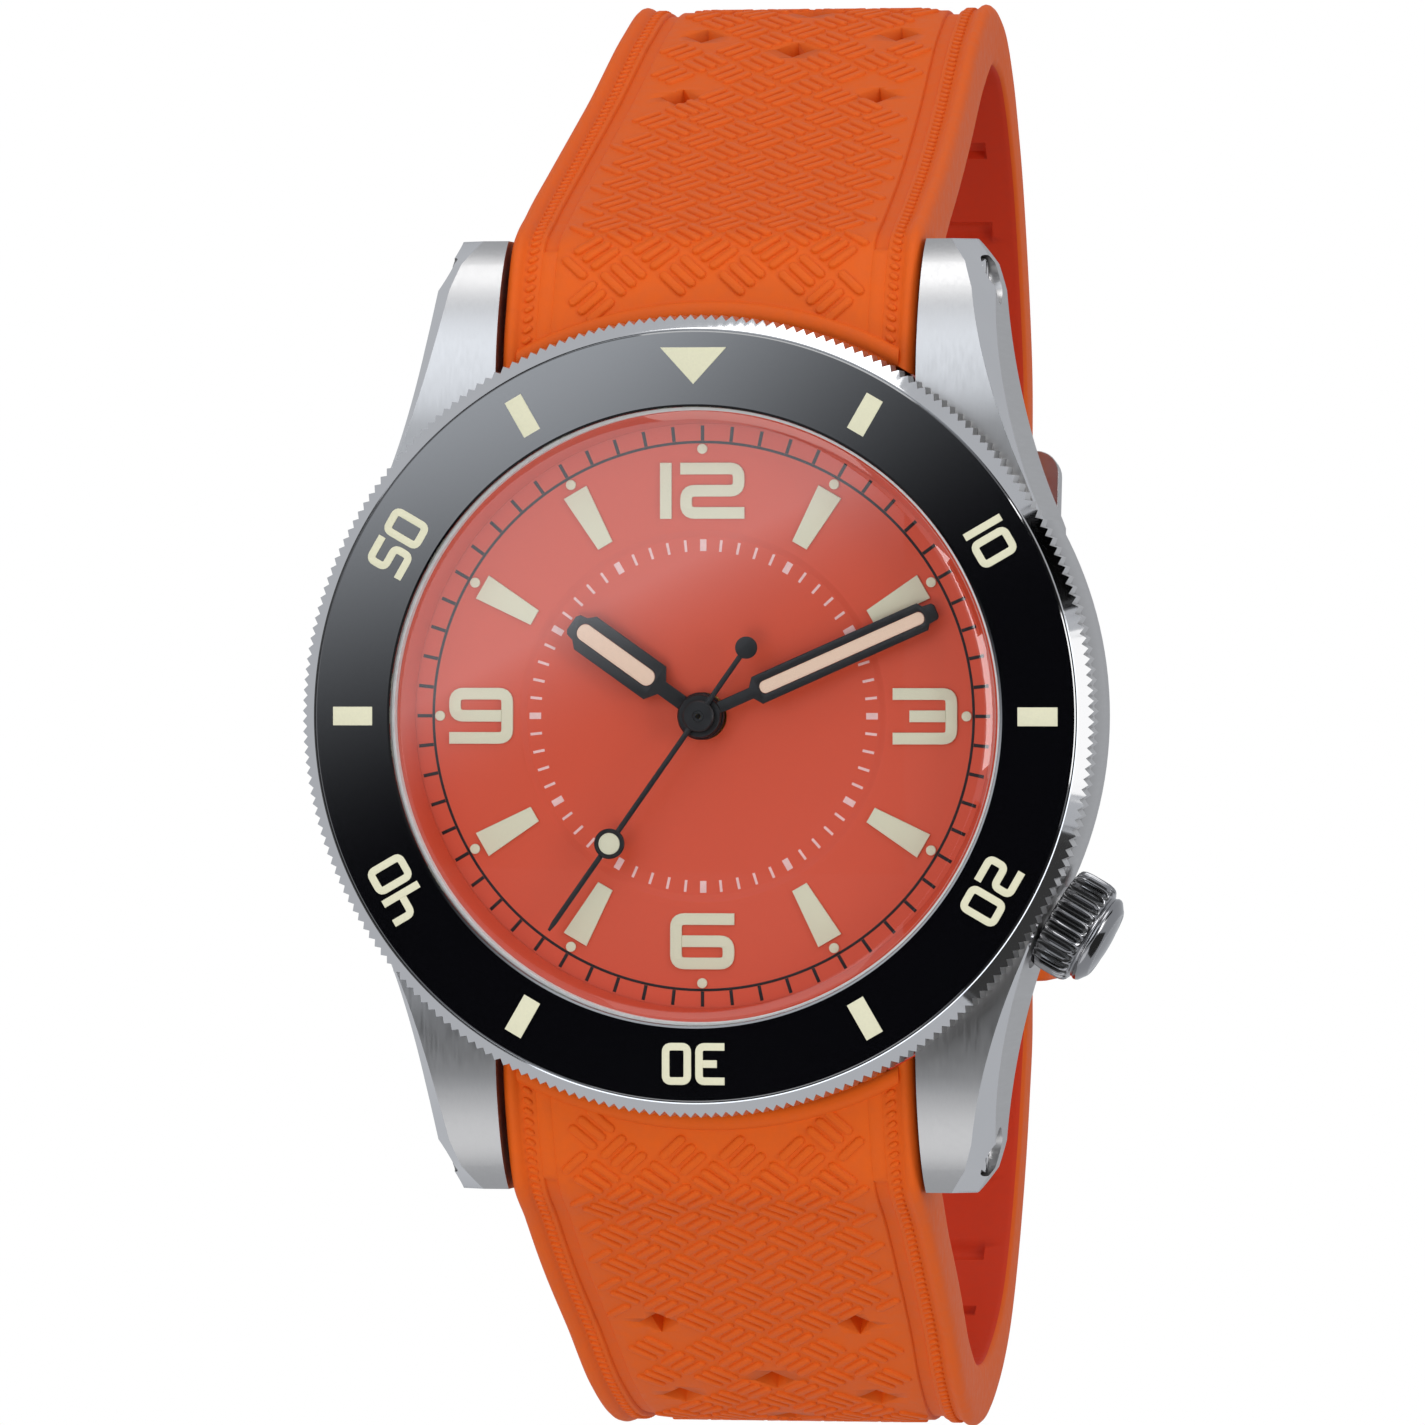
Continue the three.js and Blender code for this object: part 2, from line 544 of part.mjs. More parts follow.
// ---------- movement frame and electrics ----------
function mainPlate() {
  const pivotHole = ([x, y]) => disc(0.2, 5, 8, HOLE_FACETS).translate(x, y, 0);
  const clutchWindow = toCrown(box(CLUTCH.from - 0.25, CLUTCH.to + 0.25, -1.45, 1.45, 0, 3));
  const settingPocket = disc(1.25, 6.6, 8, 16).translate(...SETTING_AT, 0);
  const settingPivot = disc(0.31, 5, 8, SMALL_FACETS).translate(...SETTING_AT, 0);
  const minuteStud = disc(0.28, PLATE_TOP - 0.2, 8.3, SMALL_FACETS).translate(...MINUTE_AT, 0);
  const plate = cut(
    disc(PLATE_R, PLATE_BOTTOM, PLATE_TOP), disc(0.56, 5, 8, 16), clutchWindow, settingPocket, settingPivot,
    ...[ROTOR_AT, INTERMEDIATE_AT, THIRD_AT].map(pivotHole),
  );
  return join(plate, minuteStud);
}

function trainBridge() {
  const outline = polygon([
    [-1.6, -7.2], [2.2, -8.0], [4.2, -7.4], [4.4, -4.5], [5.8, 0.2], [5.7, 2.0],
    [3.0, 6.2], [0.2, 6.8], [-1.6, 4.8], [-2.2, 0.5], [-2.4, -3.5],
  ]);
  const at = (places, r, from, to) =>
    places.map(([x, y]) => disc(r, from, to, HOLE_FACETS).translate(x, y, 0));
  const pillars = at(PILLARS, 0.65, BRIDGE_BOTTOM, PLATE_BOTTOM - FIT);
  const screwHoles = at(PILLARS, 0.3, 2, 4.2);
  const pivots = at([[0, 0], ROTOR_AT, INTERMEDIATE_AT, THIRD_AT], 0.2, 2, 3.5);
  return cut(join(pushed(outline, BRIDGE_BOTTOM, BRIDGE_TOP), ...pillars), ...screwHoles, ...pivots);
}

function movementRing() {
  const slot = toCrown(box(12, 16, -1.1, 1.1, -1.2, 1.2));
  return cut(ring(13.0, 15.3, 1.95, 8.95), slot);
}

function batteryClamp() {
  const strip = pushed(roundedBar(-5.6, 5.6, -0.8, 0.8, 0.5), 2.15, 2.4, 4);
  return strip.rotateZ(rad(80)).translate(BATTERY.x, BATTERY.y, 0);
}

// Two legs join the coil's core to the plate around the rotor.
function stator() {
  const plate = box(-3.2, 6.0, 4.1, 6.8, 3.3, 3.8);
  const legs = [box(-3.2, -1.8, 6.5, 10.2, 3.3, 3.8), box(4.6, 6.0, 6.5, 10.2, 3.3, 3.8)];
  return cut(join(plate, ...legs), disc(1.0, 3, 4, 16).translate(...ROTOR_AT, 0));
}

function coil() {
  const winding = rodX(1.35, -1.5, 4.3, 9.2, 4.2, SMALL_FACETS);
  return join(winding, box(-3.2, 6.0, 8.5, 9.9, 3.86, 4.3));
}

function circuitBoard() {
  const shape = new THREE.Shape();
  shape.absarc(0, 0, 12.6, rad(-16), rad(26), false);
  shape.absarc(0, 0, 6.1, rad(26), rad(-16), true);
  return pushed(shape, 3.1, 3.45, 8);
}

add("main_plate", mainPlate(), BRASS);
add("train_bridge", trainBridge(), POLISHED_STEEL);
PILLARS.forEach(([x, y], i) => add(`bridge_screw_${i + 1}`, cut(
  turned([[0, 1.98], [0.55, 1.98], [0.55, 2.27], [0.25, 2.27], [0.25, 4.1], [0, 4.1]], HOLE_FACETS),
  box(-1, 1, -0.08, 0.08, 1.9, 2.1),
), POLISHED_STEEL, { x, y }));
add("movement_ring", movementRing(), WHITE_PLASTIC);
add("battery", turned([
  [0, BATTERY.from], [BATTERY.r, BATTERY.from], [BATTERY.r, 4.2],
  [4.0, 4.25], [4.0, BATTERY.to], [0, BATTERY.to],
], 24), POLISHED_STEEL, { x: BATTERY.x, y: BATTERY.y });
add("battery_clamp", batteryClamp(), POLISHED_STEEL);
add("stator", stator(), POLISHED_STEEL);
add("coil", coil(), COPPER);
add("circuit_board", circuitBoard(), BOARD_GREEN);
add("quartz_crystal", rodX(0.72, 6.5, 11.3, 2.7, 4.22, SMALL_FACETS), POLISHED_STEEL);
add("control_chip", box(7.4, 9.4, -1.1, 0.9, 3.49, 4.1), BLACK_RUBBER);

// ---------- crown and setting parts; their group's x axis is the crown's axis ----------
function crown() {
  const flutes = alongX(pushed(toothedShape(CROWN_FLUTES, CROWN_R, CROWN_R - 0.26), CROWN_IN, CROWN_CAP + 1));
  const outside = alongX(turned([
    [0, CROWN_IN], [2.6, CROWN_IN], [3, CROWN_IN + 0.3], [3, CROWN_SHOULDER - 0.3], [2.45, CROWN_SHOULDER],
    [2.4, CROWN_SHOULDER + 0.35], [1.9, CROWN_CAP - 0.25], [1.0, CROWN_CAP - 0.04], [0, CROWN_CAP],
  ], CROWN_FLUTES));
  const inside = alongX(turned([
    [0, CROWN_IN - 1], [1.85, CROWN_IN - 1], [1.85, 22.4],
    [STEM_R + 0.1, 22.4], [STEM_R + 0.1, 23.4], [0, 23.4],
  ], 16));
  return cut(common(flutes, outside), inside);
}

function stem() {
  return alongX(turned([
    [0, 7.6], [STEM_R, 7.6], [STEM_R, STEM_GROOVE.from], [STEM_GROOVE.r, STEM_GROOVE.from],
    [STEM_GROOVE.r, STEM_GROOVE.to], [STEM_R, STEM_GROOVE.to], [STEM_R, 22.3], [0, 22.3],
  ], 12));
}

function slidingPinion() {
  const teeth = alongX(pushed(toothedShape(14, CLUTCH.r, CLUTCH.r - 0.22), CLUTCH.from, CLUTCH.to));
  return cut(teeth, alongX(disc(STEM_R + FIT, 5, 12, 12)));
}

function settingLever() {
  const arm = pushed(roundedBar(-0.55, 0.55, -LEVER_ARM - 0.45, 0.6, 0.4), -1.45, -1.05, 4);
  const stud = disc(0.35, -1.3, PLATE_BOTTOM - CROWN_Z - FIT, 12);
  const pin = disc(0.2, -1.3, -0.4, 8).translate(0, -LEVER_ARM, 0);
  return join(arm, stud, pin);
}

const onCrown = { parent: crownGroup };
add("crown", crown(), POLISHED_STEEL, onCrown);
add("crown_gasket", alongX(ring(0.85, 1.8, TUBE_OUT + 0.06, 22.36, 16)), BLACK_RUBBER, onCrown);
add("crown_tube", alongX(ring(TUBE_BORE, TUBE_R, TUBE_IN, TUBE_OUT, 16)), BRUSHED_STEEL, onCrown);
add("stem", stem(), POLISHED_STEEL, onCrown);
add("sliding_pinion", slidingPinion(), POLISHED_STEEL, onCrown);
add("setting_lever", settingLever(), POLISHED_STEEL, {
  x: (STEM_GROOVE.from + STEM_GROOVE.to) / 2, y: LEVER_ARM, parent: crownGroup,
});

// ---------- strap ----------
const smooth = THREE.MathUtils.smoothstep;

// A bar bent along the strap's outer face. The sizes are functions of the length from the case.
function bentStrap(points, steps, halfWidth, thickness) {
  const bends = points.map(([y, z]) => new THREE.Vector3(0, y, z));
  const path = new THREE.CatmullRomCurve3(bends, false, "centripetal");
  path.arcLengthDivisions = 400;
  const length = path.getLength();
  const strip = new THREE.BoxGeometry(2, 1, 1, 2, steps, 1);
  const corners = strip.attributes.position;
  for (let i = 0; i < corners.count; i += 1) {
    const along = corners.getY(i) + 0.5;
    const depth = 0.5 - corners.getZ(i);
    const at = path.getPointAt(along);
    const run = path.getTangentAt(along);
    const inset = depth * thickness(along * length, length);
    const x = corners.getX(i) * halfWidth(along * length, length);
    corners.setXYZ(i, x, at.y + run.z * inset, at.z - run.y * inset);
  }
  return strip;
}

const strapThickness = (s) => STRAP_ROOT_THICK
  + (3.4 - STRAP_ROOT_THICK) * smooth(s, 9, 20) + (STRAP_THICK - 3.4) * smooth(s, 45, 60);
const strapHalf = (s) => (STRAP_WIDE - (STRAP_WIDE - STRAP_NARROW) * smooth(s, 12, 48)) / 2;

// The end that fits the round case and takes the strap bar.
const rootTools = (side) => [
  disc(CASE_R + 0.25, -20, 14),
  rodX(BAR_R + 0.1, -12, 12, side * BAR_Y, BAR_Z, SMALL_FACETS),
];

// The long half comes down the back, rises over the buckle's hinge and lies on the short half.
function strap12() {
  const tailZ = STRAP_BACK_Z - LAYER_GAP - TAIL_THICK;
  const points = [
    ...LOOP, [10.5, STRAP_BACK_Z - 0.05], [7.5, STRAP_BACK_Z - 0.35], [3.5, STRAP_BACK_Z - 1.7],
    [0.2, tailZ + 0.1], [-3, tailZ], [-8, tailZ], [-13, tailZ], [TAIL_END_Y, tailZ],
  ];
  const tip = 5.5;
  const half = (s, length) => {
    const into = Math.max(0, s - (length - tip)) / tip;
    return strapHalf(s) * (0.4 + 0.6 * Math.sqrt(Math.max(0, 1 - into * into)));
  };
  const thinning = (s, length) => (TAIL_THICK - STRAP_THICK) * smooth(s, length - 34, length - 20);
  const thick = (s, length) => strapThickness(s) + thinning(s, length);
  const tangHole = box(-1.5, 1.5, -2.9, 8.0, -50, -40);
  return cut(bentStrap(points, 56, half, thick), ...rootTools(1), tangHole);
}

// The short half carries the buckle; it bows out a little lower than the long half.
function strap6() {
  const points = [...LOW_LOOP, [9.0, STRAP_BACK_Z], [-HINGE_Y - 1.5, STRAP_BACK_Z]];
  const strip = bentStrap(points, 44, strapHalf, strapThickness).scale(1, -1, 1);
  const notch = box(-1.5, 1.5, HINGE_Y - 2.4, 0, -50, -38);
  const hingeHole = rodX(HINGE_R + 0.08, -12, 12, HINGE_Y, HINGE_Z, 14);
  return cut(strip, ...rootTools(-1), notch, hingeHole);
}

function keeper(y) {
  const halfIn = STRAP_NARROW / 2 + 0.35;
  const inner = STRAP_BACK_Z + STRAP_THICK + 0.35;
  const outer = STRAP_BACK_Z - LAYER_GAP - TAIL_THICK - 0.35;
  // Drawn across the strap as [x, z] and pushed along it.
  const band = (grow, radius) =>
    roundedBar(-halfIn - grow, halfIn + grow, outer - grow, inner + grow, radius);
  const solidBand = pushed(band(KEEPER_WALL, 1.4), 0, KEEPER_LENGTH, 4);
  const hole = pushed(band(0, 0.4), -1, KEEPER_LENGTH + 1, 2);
  return cut(solidBand, hole).rotateX(Math.PI / 2).scale(1, -1, 1).translate(0, y, 0);
}

add("strap_12", strap12(), STRAP_ORANGE);
add("strap_6", strap6(), STRAP_ORANGE);
add("fixed_keeper", keeper(FIXED_KEEPER_Y), STRAP_ORANGE);
add("sliding_keeper", keeper(SLIDING_KEEPER_Y), STRAP_ORANGE);

// ---------- strap bars and lug screws ----------
for (const [name, side] of [["12", 1], ["6", -1]]) {
  const bar = alongX(ring(BAR_BORE, BAR_R, -11.05, 11.05, SMALL_FACETS));
  add(`strap_bar_${name}`, bar, POLISHED_STEEL, { y: side * BAR_Y, z: BAR_Z });
}

function lugScrew() {
  const headFrom = LUG_SCREW_FACE - 0.7;
  const screw = alongX(turned([
    [0, 9.8], [LUG_SCREW_R, 9.8], [LUG_SCREW_R, headFrom], [LUG_SCREW_HEAD_R, headFrom],
    [LUG_SCREW_HEAD_R, LUG_SCREW_FACE], [0, LUG_SCREW_FACE],
  ], SMALL_FACETS));
  return cut(screw, box(LUG_SCREW_FACE - 0.3, LUG_SCREW_FACE + 1, -2, 2, -0.15, 0.15));
}

[[1, 1], [-1, 1], [-1, -1], [1, -1]].forEach(([sx, sy], i) => {
  add(`lug_screw_${i + 1}`, lugScrew().scale(sx, 1, 1), POLISHED_STEEL, { y: sy * BAR_Y, z: BAR_Z });
});

// ---------- buckle; its group's origin is on the hinge ----------
function buckleFrame() {
  const outline = roundedBar(-FRAME_OUT_X, FRAME_OUT_X, -1.1, FRAME_LENGTH, 0.7);
  const opening = pushed(roundedBar(-FRAME_IN_X, FRAME_IN_X, -4, FRAME_LENGTH - 1.6, 1.2), -2, 2, 4);
  const plate = pushed(outline, -FRAME_THICK / 2, FRAME_THICK / 2, 4);
  return cut(plate, opening, rodX(HINGE_TIP_R + FIT, -12, 12, 0, 0, 12));
}

function buckleTang() {
  const half = TANG_THICK / 2;
  const outline = polygon([[0, -half], [17.4, -half], [19.9, -0.1], [19.6, 0.45], [17.6, half], [0, half]]);
  const bar = pushedAlongX(outline, -TANG_HALF, TANG_HALF);
  const eye = rodX(1.3, -TANG_HALF, TANG_HALF, 0, 0, 18);
  return cut(join(bar, eye), rodX(HINGE_R + 0.08, -3, 3, 0, 0, 14));
}

function buckleBar() {
  const middle = 10.3;
  const end = 11.2;
  return alongX(turned([
    [0, -end], [HINGE_TIP_R, -end], [HINGE_TIP_R, -middle], [HINGE_R, -middle],
    [HINGE_R, middle], [HINGE_TIP_R, middle], [HINGE_TIP_R, end], [0, end],
  ], 14));
}

add("buckle_bar", buckleBar(), POLISHED_STEEL, { parent: buckleGroup });
add("buckle_frame", buckleFrame(), BRUSHED_STEEL, { tilt: FRAME_TILT, parent: buckleGroup });
add("buckle_tang", buckleTang(), POLISHED_STEEL, { tilt: TANG_TILT, parent: buckleGroup });

export default watch;
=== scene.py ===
"""The dive watch's looks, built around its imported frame. Blender 4.5."""
import math
from bisect import bisect_right

import bmesh
import bpy
from mathutils import Matrix, Vector


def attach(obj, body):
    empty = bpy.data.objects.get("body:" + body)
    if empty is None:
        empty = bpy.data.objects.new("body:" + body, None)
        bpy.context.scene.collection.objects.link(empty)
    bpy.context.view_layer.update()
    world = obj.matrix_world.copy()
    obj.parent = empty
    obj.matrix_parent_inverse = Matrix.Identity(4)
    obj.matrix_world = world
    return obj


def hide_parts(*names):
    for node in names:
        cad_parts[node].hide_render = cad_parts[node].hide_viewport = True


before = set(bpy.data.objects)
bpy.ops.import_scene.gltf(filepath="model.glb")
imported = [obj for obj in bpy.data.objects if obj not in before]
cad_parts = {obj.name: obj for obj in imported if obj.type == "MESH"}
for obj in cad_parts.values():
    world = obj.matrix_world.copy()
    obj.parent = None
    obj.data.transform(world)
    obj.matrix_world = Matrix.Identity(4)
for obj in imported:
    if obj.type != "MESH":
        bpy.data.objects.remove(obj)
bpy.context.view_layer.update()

# The pieces are drawn face up in millimetres: x to 3 o'clock, y to 12 o'clock, z out of the dial.
MM = 0.001
UPRIGHT = Matrix.Rotation(math.pi / 2, 4, "X") @ Matrix.Scale(MM, 4)
TAU = 2 * math.pi
SAPPHIRE_IOR = 1.77
# Higher than a real ceramic's, so that the black ring mirrors the softbox as brightly as it should.
GLOSS_IOR = 2.6

# Heights above the case back's outer face and radii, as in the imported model
CROWN_Z = 5.3
BAR_Y = 23.0
BAR_Z = 4.1
DIAL_Z = 9.4
HINGE = (-3.6, -42.2)
STRAP_BACK_Z = -43.7
AT_CROWN = Matrix.Translation((0, 0, CROWN_Z)) @ Matrix.Rotation(math.radians(-30), 4, "Z")
LAID = Matrix.Rotation(math.pi / 2, 4, "Y")


# ---------- small tools ----------
def smoothstep(value, low, high):
    t = min(1, max(0, (value - low) / (high - low)))
    return t * t * (3 - 2 * t)


def mix(a, b, t):
    return a + (b - a) * t


def polar(r, degrees):
    """A point at clockwise degrees from 12 o'clock."""
    angle = math.radians(degrees)
    return (r * math.sin(angle), r * math.cos(angle))


def finish_mesh(mesh, smooth_angle):
    work = bmesh.new()
    work.from_mesh(mesh)
    bmesh.ops.remove_doubles(work, verts=work.verts, dist=1e-7)
    bmesh.ops.dissolve_degenerate(work, edges=work.edges, dist=1e-8)
    bmesh.ops.recalc_face_normals(work, faces=work.faces)
    work.to_mesh(mesh)
    work.free()
    mesh.shade_smooth()
    mesh.set_sharp_from_angle(angle=math.radians(smooth_angle))


def new_piece(name, mesh, materials, body, nodes=(), place=Matrix(), edge=0, smooth_angle=35):
    """A finished piece from a mesh drawn face up in millimetres, riding on a body."""
    mesh.transform(UPRIGHT @ place)
    finish_mesh(mesh, smooth_angle)
    for material in materials if isinstance(materials, (list, tuple)) else [materials]:
        mesh.materials.append(material)
    piece = bpy.data.objects.new(name, mesh)
    bpy.context.scene.collection.objects.link(piece)
    if edge:
        bevel = piece.modifiers.new("worn edges", "BEVEL")
        bevel.width = edge * MM
        bevel.segments = 2
        bevel.limit_method = "ANGLE"
        bevel.angle_limit = math.radians(smooth_angle)
        bevel.harden_normals = True
    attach(piece, body)
    if nodes:
        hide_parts(*nodes)
    return piece


def grid_mesh(name, rows, around=True, ends=False):
    """A sheet of quads through rows of points; rows close on themselves when around is true."""
    wide = len(rows[0])
    points = [p for row in rows for p in row]
    faces = []
    for j in range(len(rows) - 1):
        for i in range(wide if around else wide - 1):
            a, b = j * wide + i, j * wide + (i + 1) % wide
            faces.append((a, b, b + wide, a + wide))
    if ends:
        faces += [tuple(range(wide)), tuple(range(len(points) - wide, len(points)))]
    mesh = bpy.data.meshes.new(name)
    mesh.from_pydata(points, [], faces)
    return mesh


def turned(name, profile, segments=128):
    """A lathe around z; the [r, z] profile runs from axis to axis, or closes by repeating its start."""
    rows = []
    for r, z in profile:
        rows.append([(r * math.cos(TAU * i / segments), r * math.sin(TAU * i / segments),
            z) for i in range(segments)])
    return grid_mesh(name, rows)


def plate(name, outlines, z0, z1, edge=0.03, place=Matrix()):
    """Flat outlines, holes included, filled and raised from z0 to z1 with rounded edges."""
    curve = bpy.data.curves.new(name, "CURVE")
    curve.dimensions = "2D"
    curve.fill_mode = "BOTH"
    curve.extrude = (z1 - z0) / 2 - edge
    curve.bevel_depth = edge
    curve.bevel_resolution = 1
    curve.offset = -edge
    for outline in outlines:
        spline = curve.splines.new("POLY")
        spline.points.add(len(outline) - 1)
        for point, (x, y) in zip(spline.points, outline):
            point.co = (x, y, 0, 1)
        spline.use_cyclic_u = True
    holder = bpy.data.objects.new(name, curve)
    mesh = bpy.data.meshes.new_from_object(holder)
    bpy.data.objects.remove(holder)
    mesh.transform(place @ Matrix.Translation((0, 0, (z0 + z1) / 2)))
    return mesh


def carve(piece, *tools):
    """Cuts closed meshes, drawn face up in millimetres, out of a piece."""
    for number, tool in enumerate(tools):
        tool.transform(UPRIGHT)
        finish_mesh(tool, 30)
        cutter = bpy.data.objects.new(f"{piece.name}_cut_{number}", tool)
        bpy.context.scene.collection.objects.link(cutter)
        cut = piece.modifiers.new("cut", "BOOLEAN")
        cut.operation = "DIFFERENCE"
        cut.solver = "EXACT"
        cut.object = cutter
        bevels = [m for m in piece.modifiers if m.type == "BEVEL"]
        for bevel in bevels:
            bevel.show_viewport = False
        bpy.context.view_layer.update()
        done = bpy.data.meshes.new_from_object(piece.evaluated_get(bpy.context.evaluated_depsgraph_get()))
        piece.modifiers.remove(cut)
        for bevel in bevels:
            bevel.show_viewport = True
        piece.data = done
        bpy.data.objects.remove(cutter)


def box_mesh(x0, x1, y0, y1, z0, z1):
    corners = [[(x0, y0, z), (x1, y0, z), (x1, y1, z), (x0, y1, z)] for z in (z0, z1)]
    return grid_mesh("box", corners, ends=True)


def disc_mesh(r, z0, z1, segments=48, place=Matrix()):
    mesh = turned("disc", [(0, z0), (r, z0), (r, z1), (0, z1)], segments)
    mesh.transform(place)
    return mesh


# ---------- flat outlines ----------
def circle(r, x=0, y=0, segments=96):
    return [(x + r * math.cos(TAU * i / segments),
        y + r * math.sin(TAU * i / segments)) for i in range(segments)]


def rounded_box(x0, x1, y0, y1, r, steps=6):
    centres = [(x1 - r, y0 + r, -90), (x1 - r, y1 - r, 0), (x0 + r, y1 - r, 90), (x0 + r, y0 + r, 180)]
    outline = []
    for x, y, start in centres:
        for i in range(steps + 1):
            angle = math.radians(start + 90 * i / steps)
            outline.append((x + r * math.cos(angle), y + r * math.sin(angle)))
    return outline


def moved(outlines, turn=0, x=0, y=0):
    """Outlines turned clockwise by some degrees and then shifted."""
    c, s = math.cos(math.radians(-turn)), math.sin(math.radians(-turn))
    return [[(px * c - py * s + x, px * s + py * c + y) for px, py in outline] for outline in outlines]


def softened(path, radius, closed):
    """The corners of a path become short arcs."""
    count = len(path)
    result = []
    for i, point in enumerate(path):
        if not closed and i in (0, count - 1):
            result.append(Vector(point))
            continue
        here = Vector(point)
        before, after = Vector(path[i - 1]) - here, Vector(path[(i + 1) % count]) - here
        reach = min(radius, before.length / 2, after.length / 2)
        start, end = here + before.normalized() * reach, here + after.normalized() * reach
        for k in range(6):
            t = k / 5
            result.append(start * (1 - t) ** 2 + here * 2 * t * (1 - t) + end * t * t)
    return result


def stroke(path, width, radius=0.3, closed=False):
    """The outline, or two, of a line of some width along a path."""
    line = softened(path, radius, closed)
    count = len(line)
    sides = ([], [])
    for i, here in enumerate(line):
        before = line[i - 1] if closed or i else here
        after = line[(i + 1) % count] if closed or i < count - 1 else here
        step_in = here - before
        run_in = step_in.normalized() if step_in.length > 1e-9 else (after - here).normalized()
        run_out = (after - here).normalized() if (after - here).length > 1e-9 else run_in
        run = (run_in + run_out).normalized()
        across = Vector((-run.y, run.x)) * (width / 2 / max(0.5, run.dot(run_in)))
        sides[0].append(tuple(here + across))
        sides[1].append(tuple(here - across))
    if closed:
        return [sides[0], sides[1]]
    return [sides[0] + sides[1][::-1]]


def digit(character, w, h, t):
    """A wide square numeral with strokes t thick, its lower left corner at the origin."""
    left, right, low, middle, high = t / 2, w - t / 2, t / 2, h / 2, h - t / 2
    bend = 0.75 * t
    if character == "0":
        return stroke([(left, low), (right, low), (right, high), (left, high)], t, bend, closed=True)
    if character == "1":
        return [[(0, 0), (t, 0), (t, h), (0, h)]]
    if character == "2":
        return stroke([(0, high), (right, high), (right, middle), (left, middle), (left, low), (w, low)],
            t, bend)
    if character == "3":
        bar = [[(0.26 * w, middle - t / 2), (w - t, middle - t / 2), (w - t, middle + t / 2),
            (0.26 * w, middle + t / 2)]]
        return stroke([(0, high), (right, high), (right, low), (0, low)], t, bend) + bar
    if character == "4":
        bar = [[(right - t / 2, 0), (w, 0), (w, h), (right - t / 2, h)]]
        return stroke([(left, h), (left, middle), (w - t, middle)], t, bend) + bar
    if character == "5":
        return stroke([(w, high), (left, high), (left, middle), (right, middle), (right, low), (0, low)],
            t, bend)
    six = stroke([(w, high), (left, high), (left, low), (right, low), (right, middle), (t, middle)], t,
        bend)
    if character == "9":
        return [[(w - x, h - y) for x, y in outline] for outline in six]
    return six


def number(text, w, h, t, gap):
    outlines = []
    x = 0
    for character in text:
        outlines += moved(digit(character, w, h, t), x=x)
        x += (t if character == "1" else w) + gap
    return moved(outlines, x=-(x - gap) / 2, y=-h / 2)


# ---------- materials ----------
def new_material(name, slot, colour, roughness, metallic=0.0):
    material = bpy.data.materials.new(name)
    material.use_nodes = True
    material["slot"] = slot
    shader = material.node_tree.nodes["Principled BSDF"]
    shader.inputs["Base Color"].default_value = (*colour, 1)
    shader.inputs["Roughness"].default_value = roughness
    shader.inputs["Metallic"].default_value = metallic
    return material, material.node_tree.nodes, material.node_tree.links, shader


def noise(nodes, links, scale, stretch=(1, 1, 1), detail=3):
    """Noise over the piece; scale is in features per metre, and stretch squeezes it along each axis."""
    where = nodes.new("ShaderNodeTexCoord")
    mapping = nodes.new("ShaderNodeMapping")
    mapping.inputs["Scale"].default_value = stretch
    texture = nodes.new("ShaderNodeTexNoise")
    texture.inputs["Scale"].default_value = scale
    texture.inputs["Detail"].default_value = detail
    links.new(where.outputs["Object"], mapping.inputs["Vector"])
    links.new(mapping.outputs["Vector"], texture.inputs["Vector"])
    return texture.outputs["Fac"]


def vary(nodes, links, fac, low, high, target):
    """Noise between two values or two colours into a socket."""
    if isinstance(low, tuple):
        blend = nodes.new("ShaderNodeMix")
        blend.data_type = "RGBA"
        blend.inputs[6].default_value = (*low, 1)
        blend.inputs[7].default_value = (*high, 1)
        links.new(fac, blend.inputs[0])
        links.new(blend.outputs[2], target)
        return
    spread = nodes.new("ShaderNodeMapRange")
    spread.inputs["From Min"].default_value = 0.3
    spread.inputs["From Max"].default_value = 0.7
    spread.inputs["To Min"].default_value = low
    spread.inputs["To Max"].default_value = high
    links.new(fac, spread.inputs["Value"])
    links.new(spread.outputs["Result"], target)


def roughen(nodes, links, fac, depth, shader, strength=1.0):
    bump = nodes.new("ShaderNodeBump")
    bump.inputs["Distance"].default_value = depth * MM
    bump.inputs["Strength"].default_value = strength
    links.new(fac, bump.inputs["Height"])
    links.new(bump.outputs["Normal"], shader.inputs["Normal"])


def brushed(name, stretch, tone=0.62, slot="brushed_steel", low=0.28, high=0.36):
    material, nodes, links, shader = new_material(name, slot, (tone, tone * 0.985, tone * 0.975), 0.3,
        1.0)
    grain = noise(nodes, links, 900, stretch, 4)
    vary(nodes, links, grain, low, high, shader.inputs["Roughness"])
    dark, light = tone * 0.94, tone * 1.04
    vary(nodes, links, grain, (dark, dark * 0.985, dark * 0.98), (light, light * 0.99, light * 0.98),
         shader.inputs["Base Color"])
    roughen(nodes, links, grain, 0.004, shader, 0.04)
    return material


def grained(name, slot, colour, roughness, metallic=0.0, scale=3000, contrast=0.12, depth=0.004):
    """A colour with fine uneven grain in tone, gloss and surface."""
    material, nodes, links, shader = new_material(name, slot, colour, roughness, metallic)
    grain = noise(nodes, links, scale)
    dark = tuple(c * (1 - contrast) for c in colour)
    light = tuple(min(1, c * (1 + contrast)) for c in colour)
    vary(nodes, links, grain, dark, light, shader.inputs["Base Color"])
    vary(nodes, links, grain, roughness * 0.9, min(1, roughness * 1.12), shader.inputs["Roughness"])
    roughen(nodes, links, grain, depth, shader, 0.6)
    return material


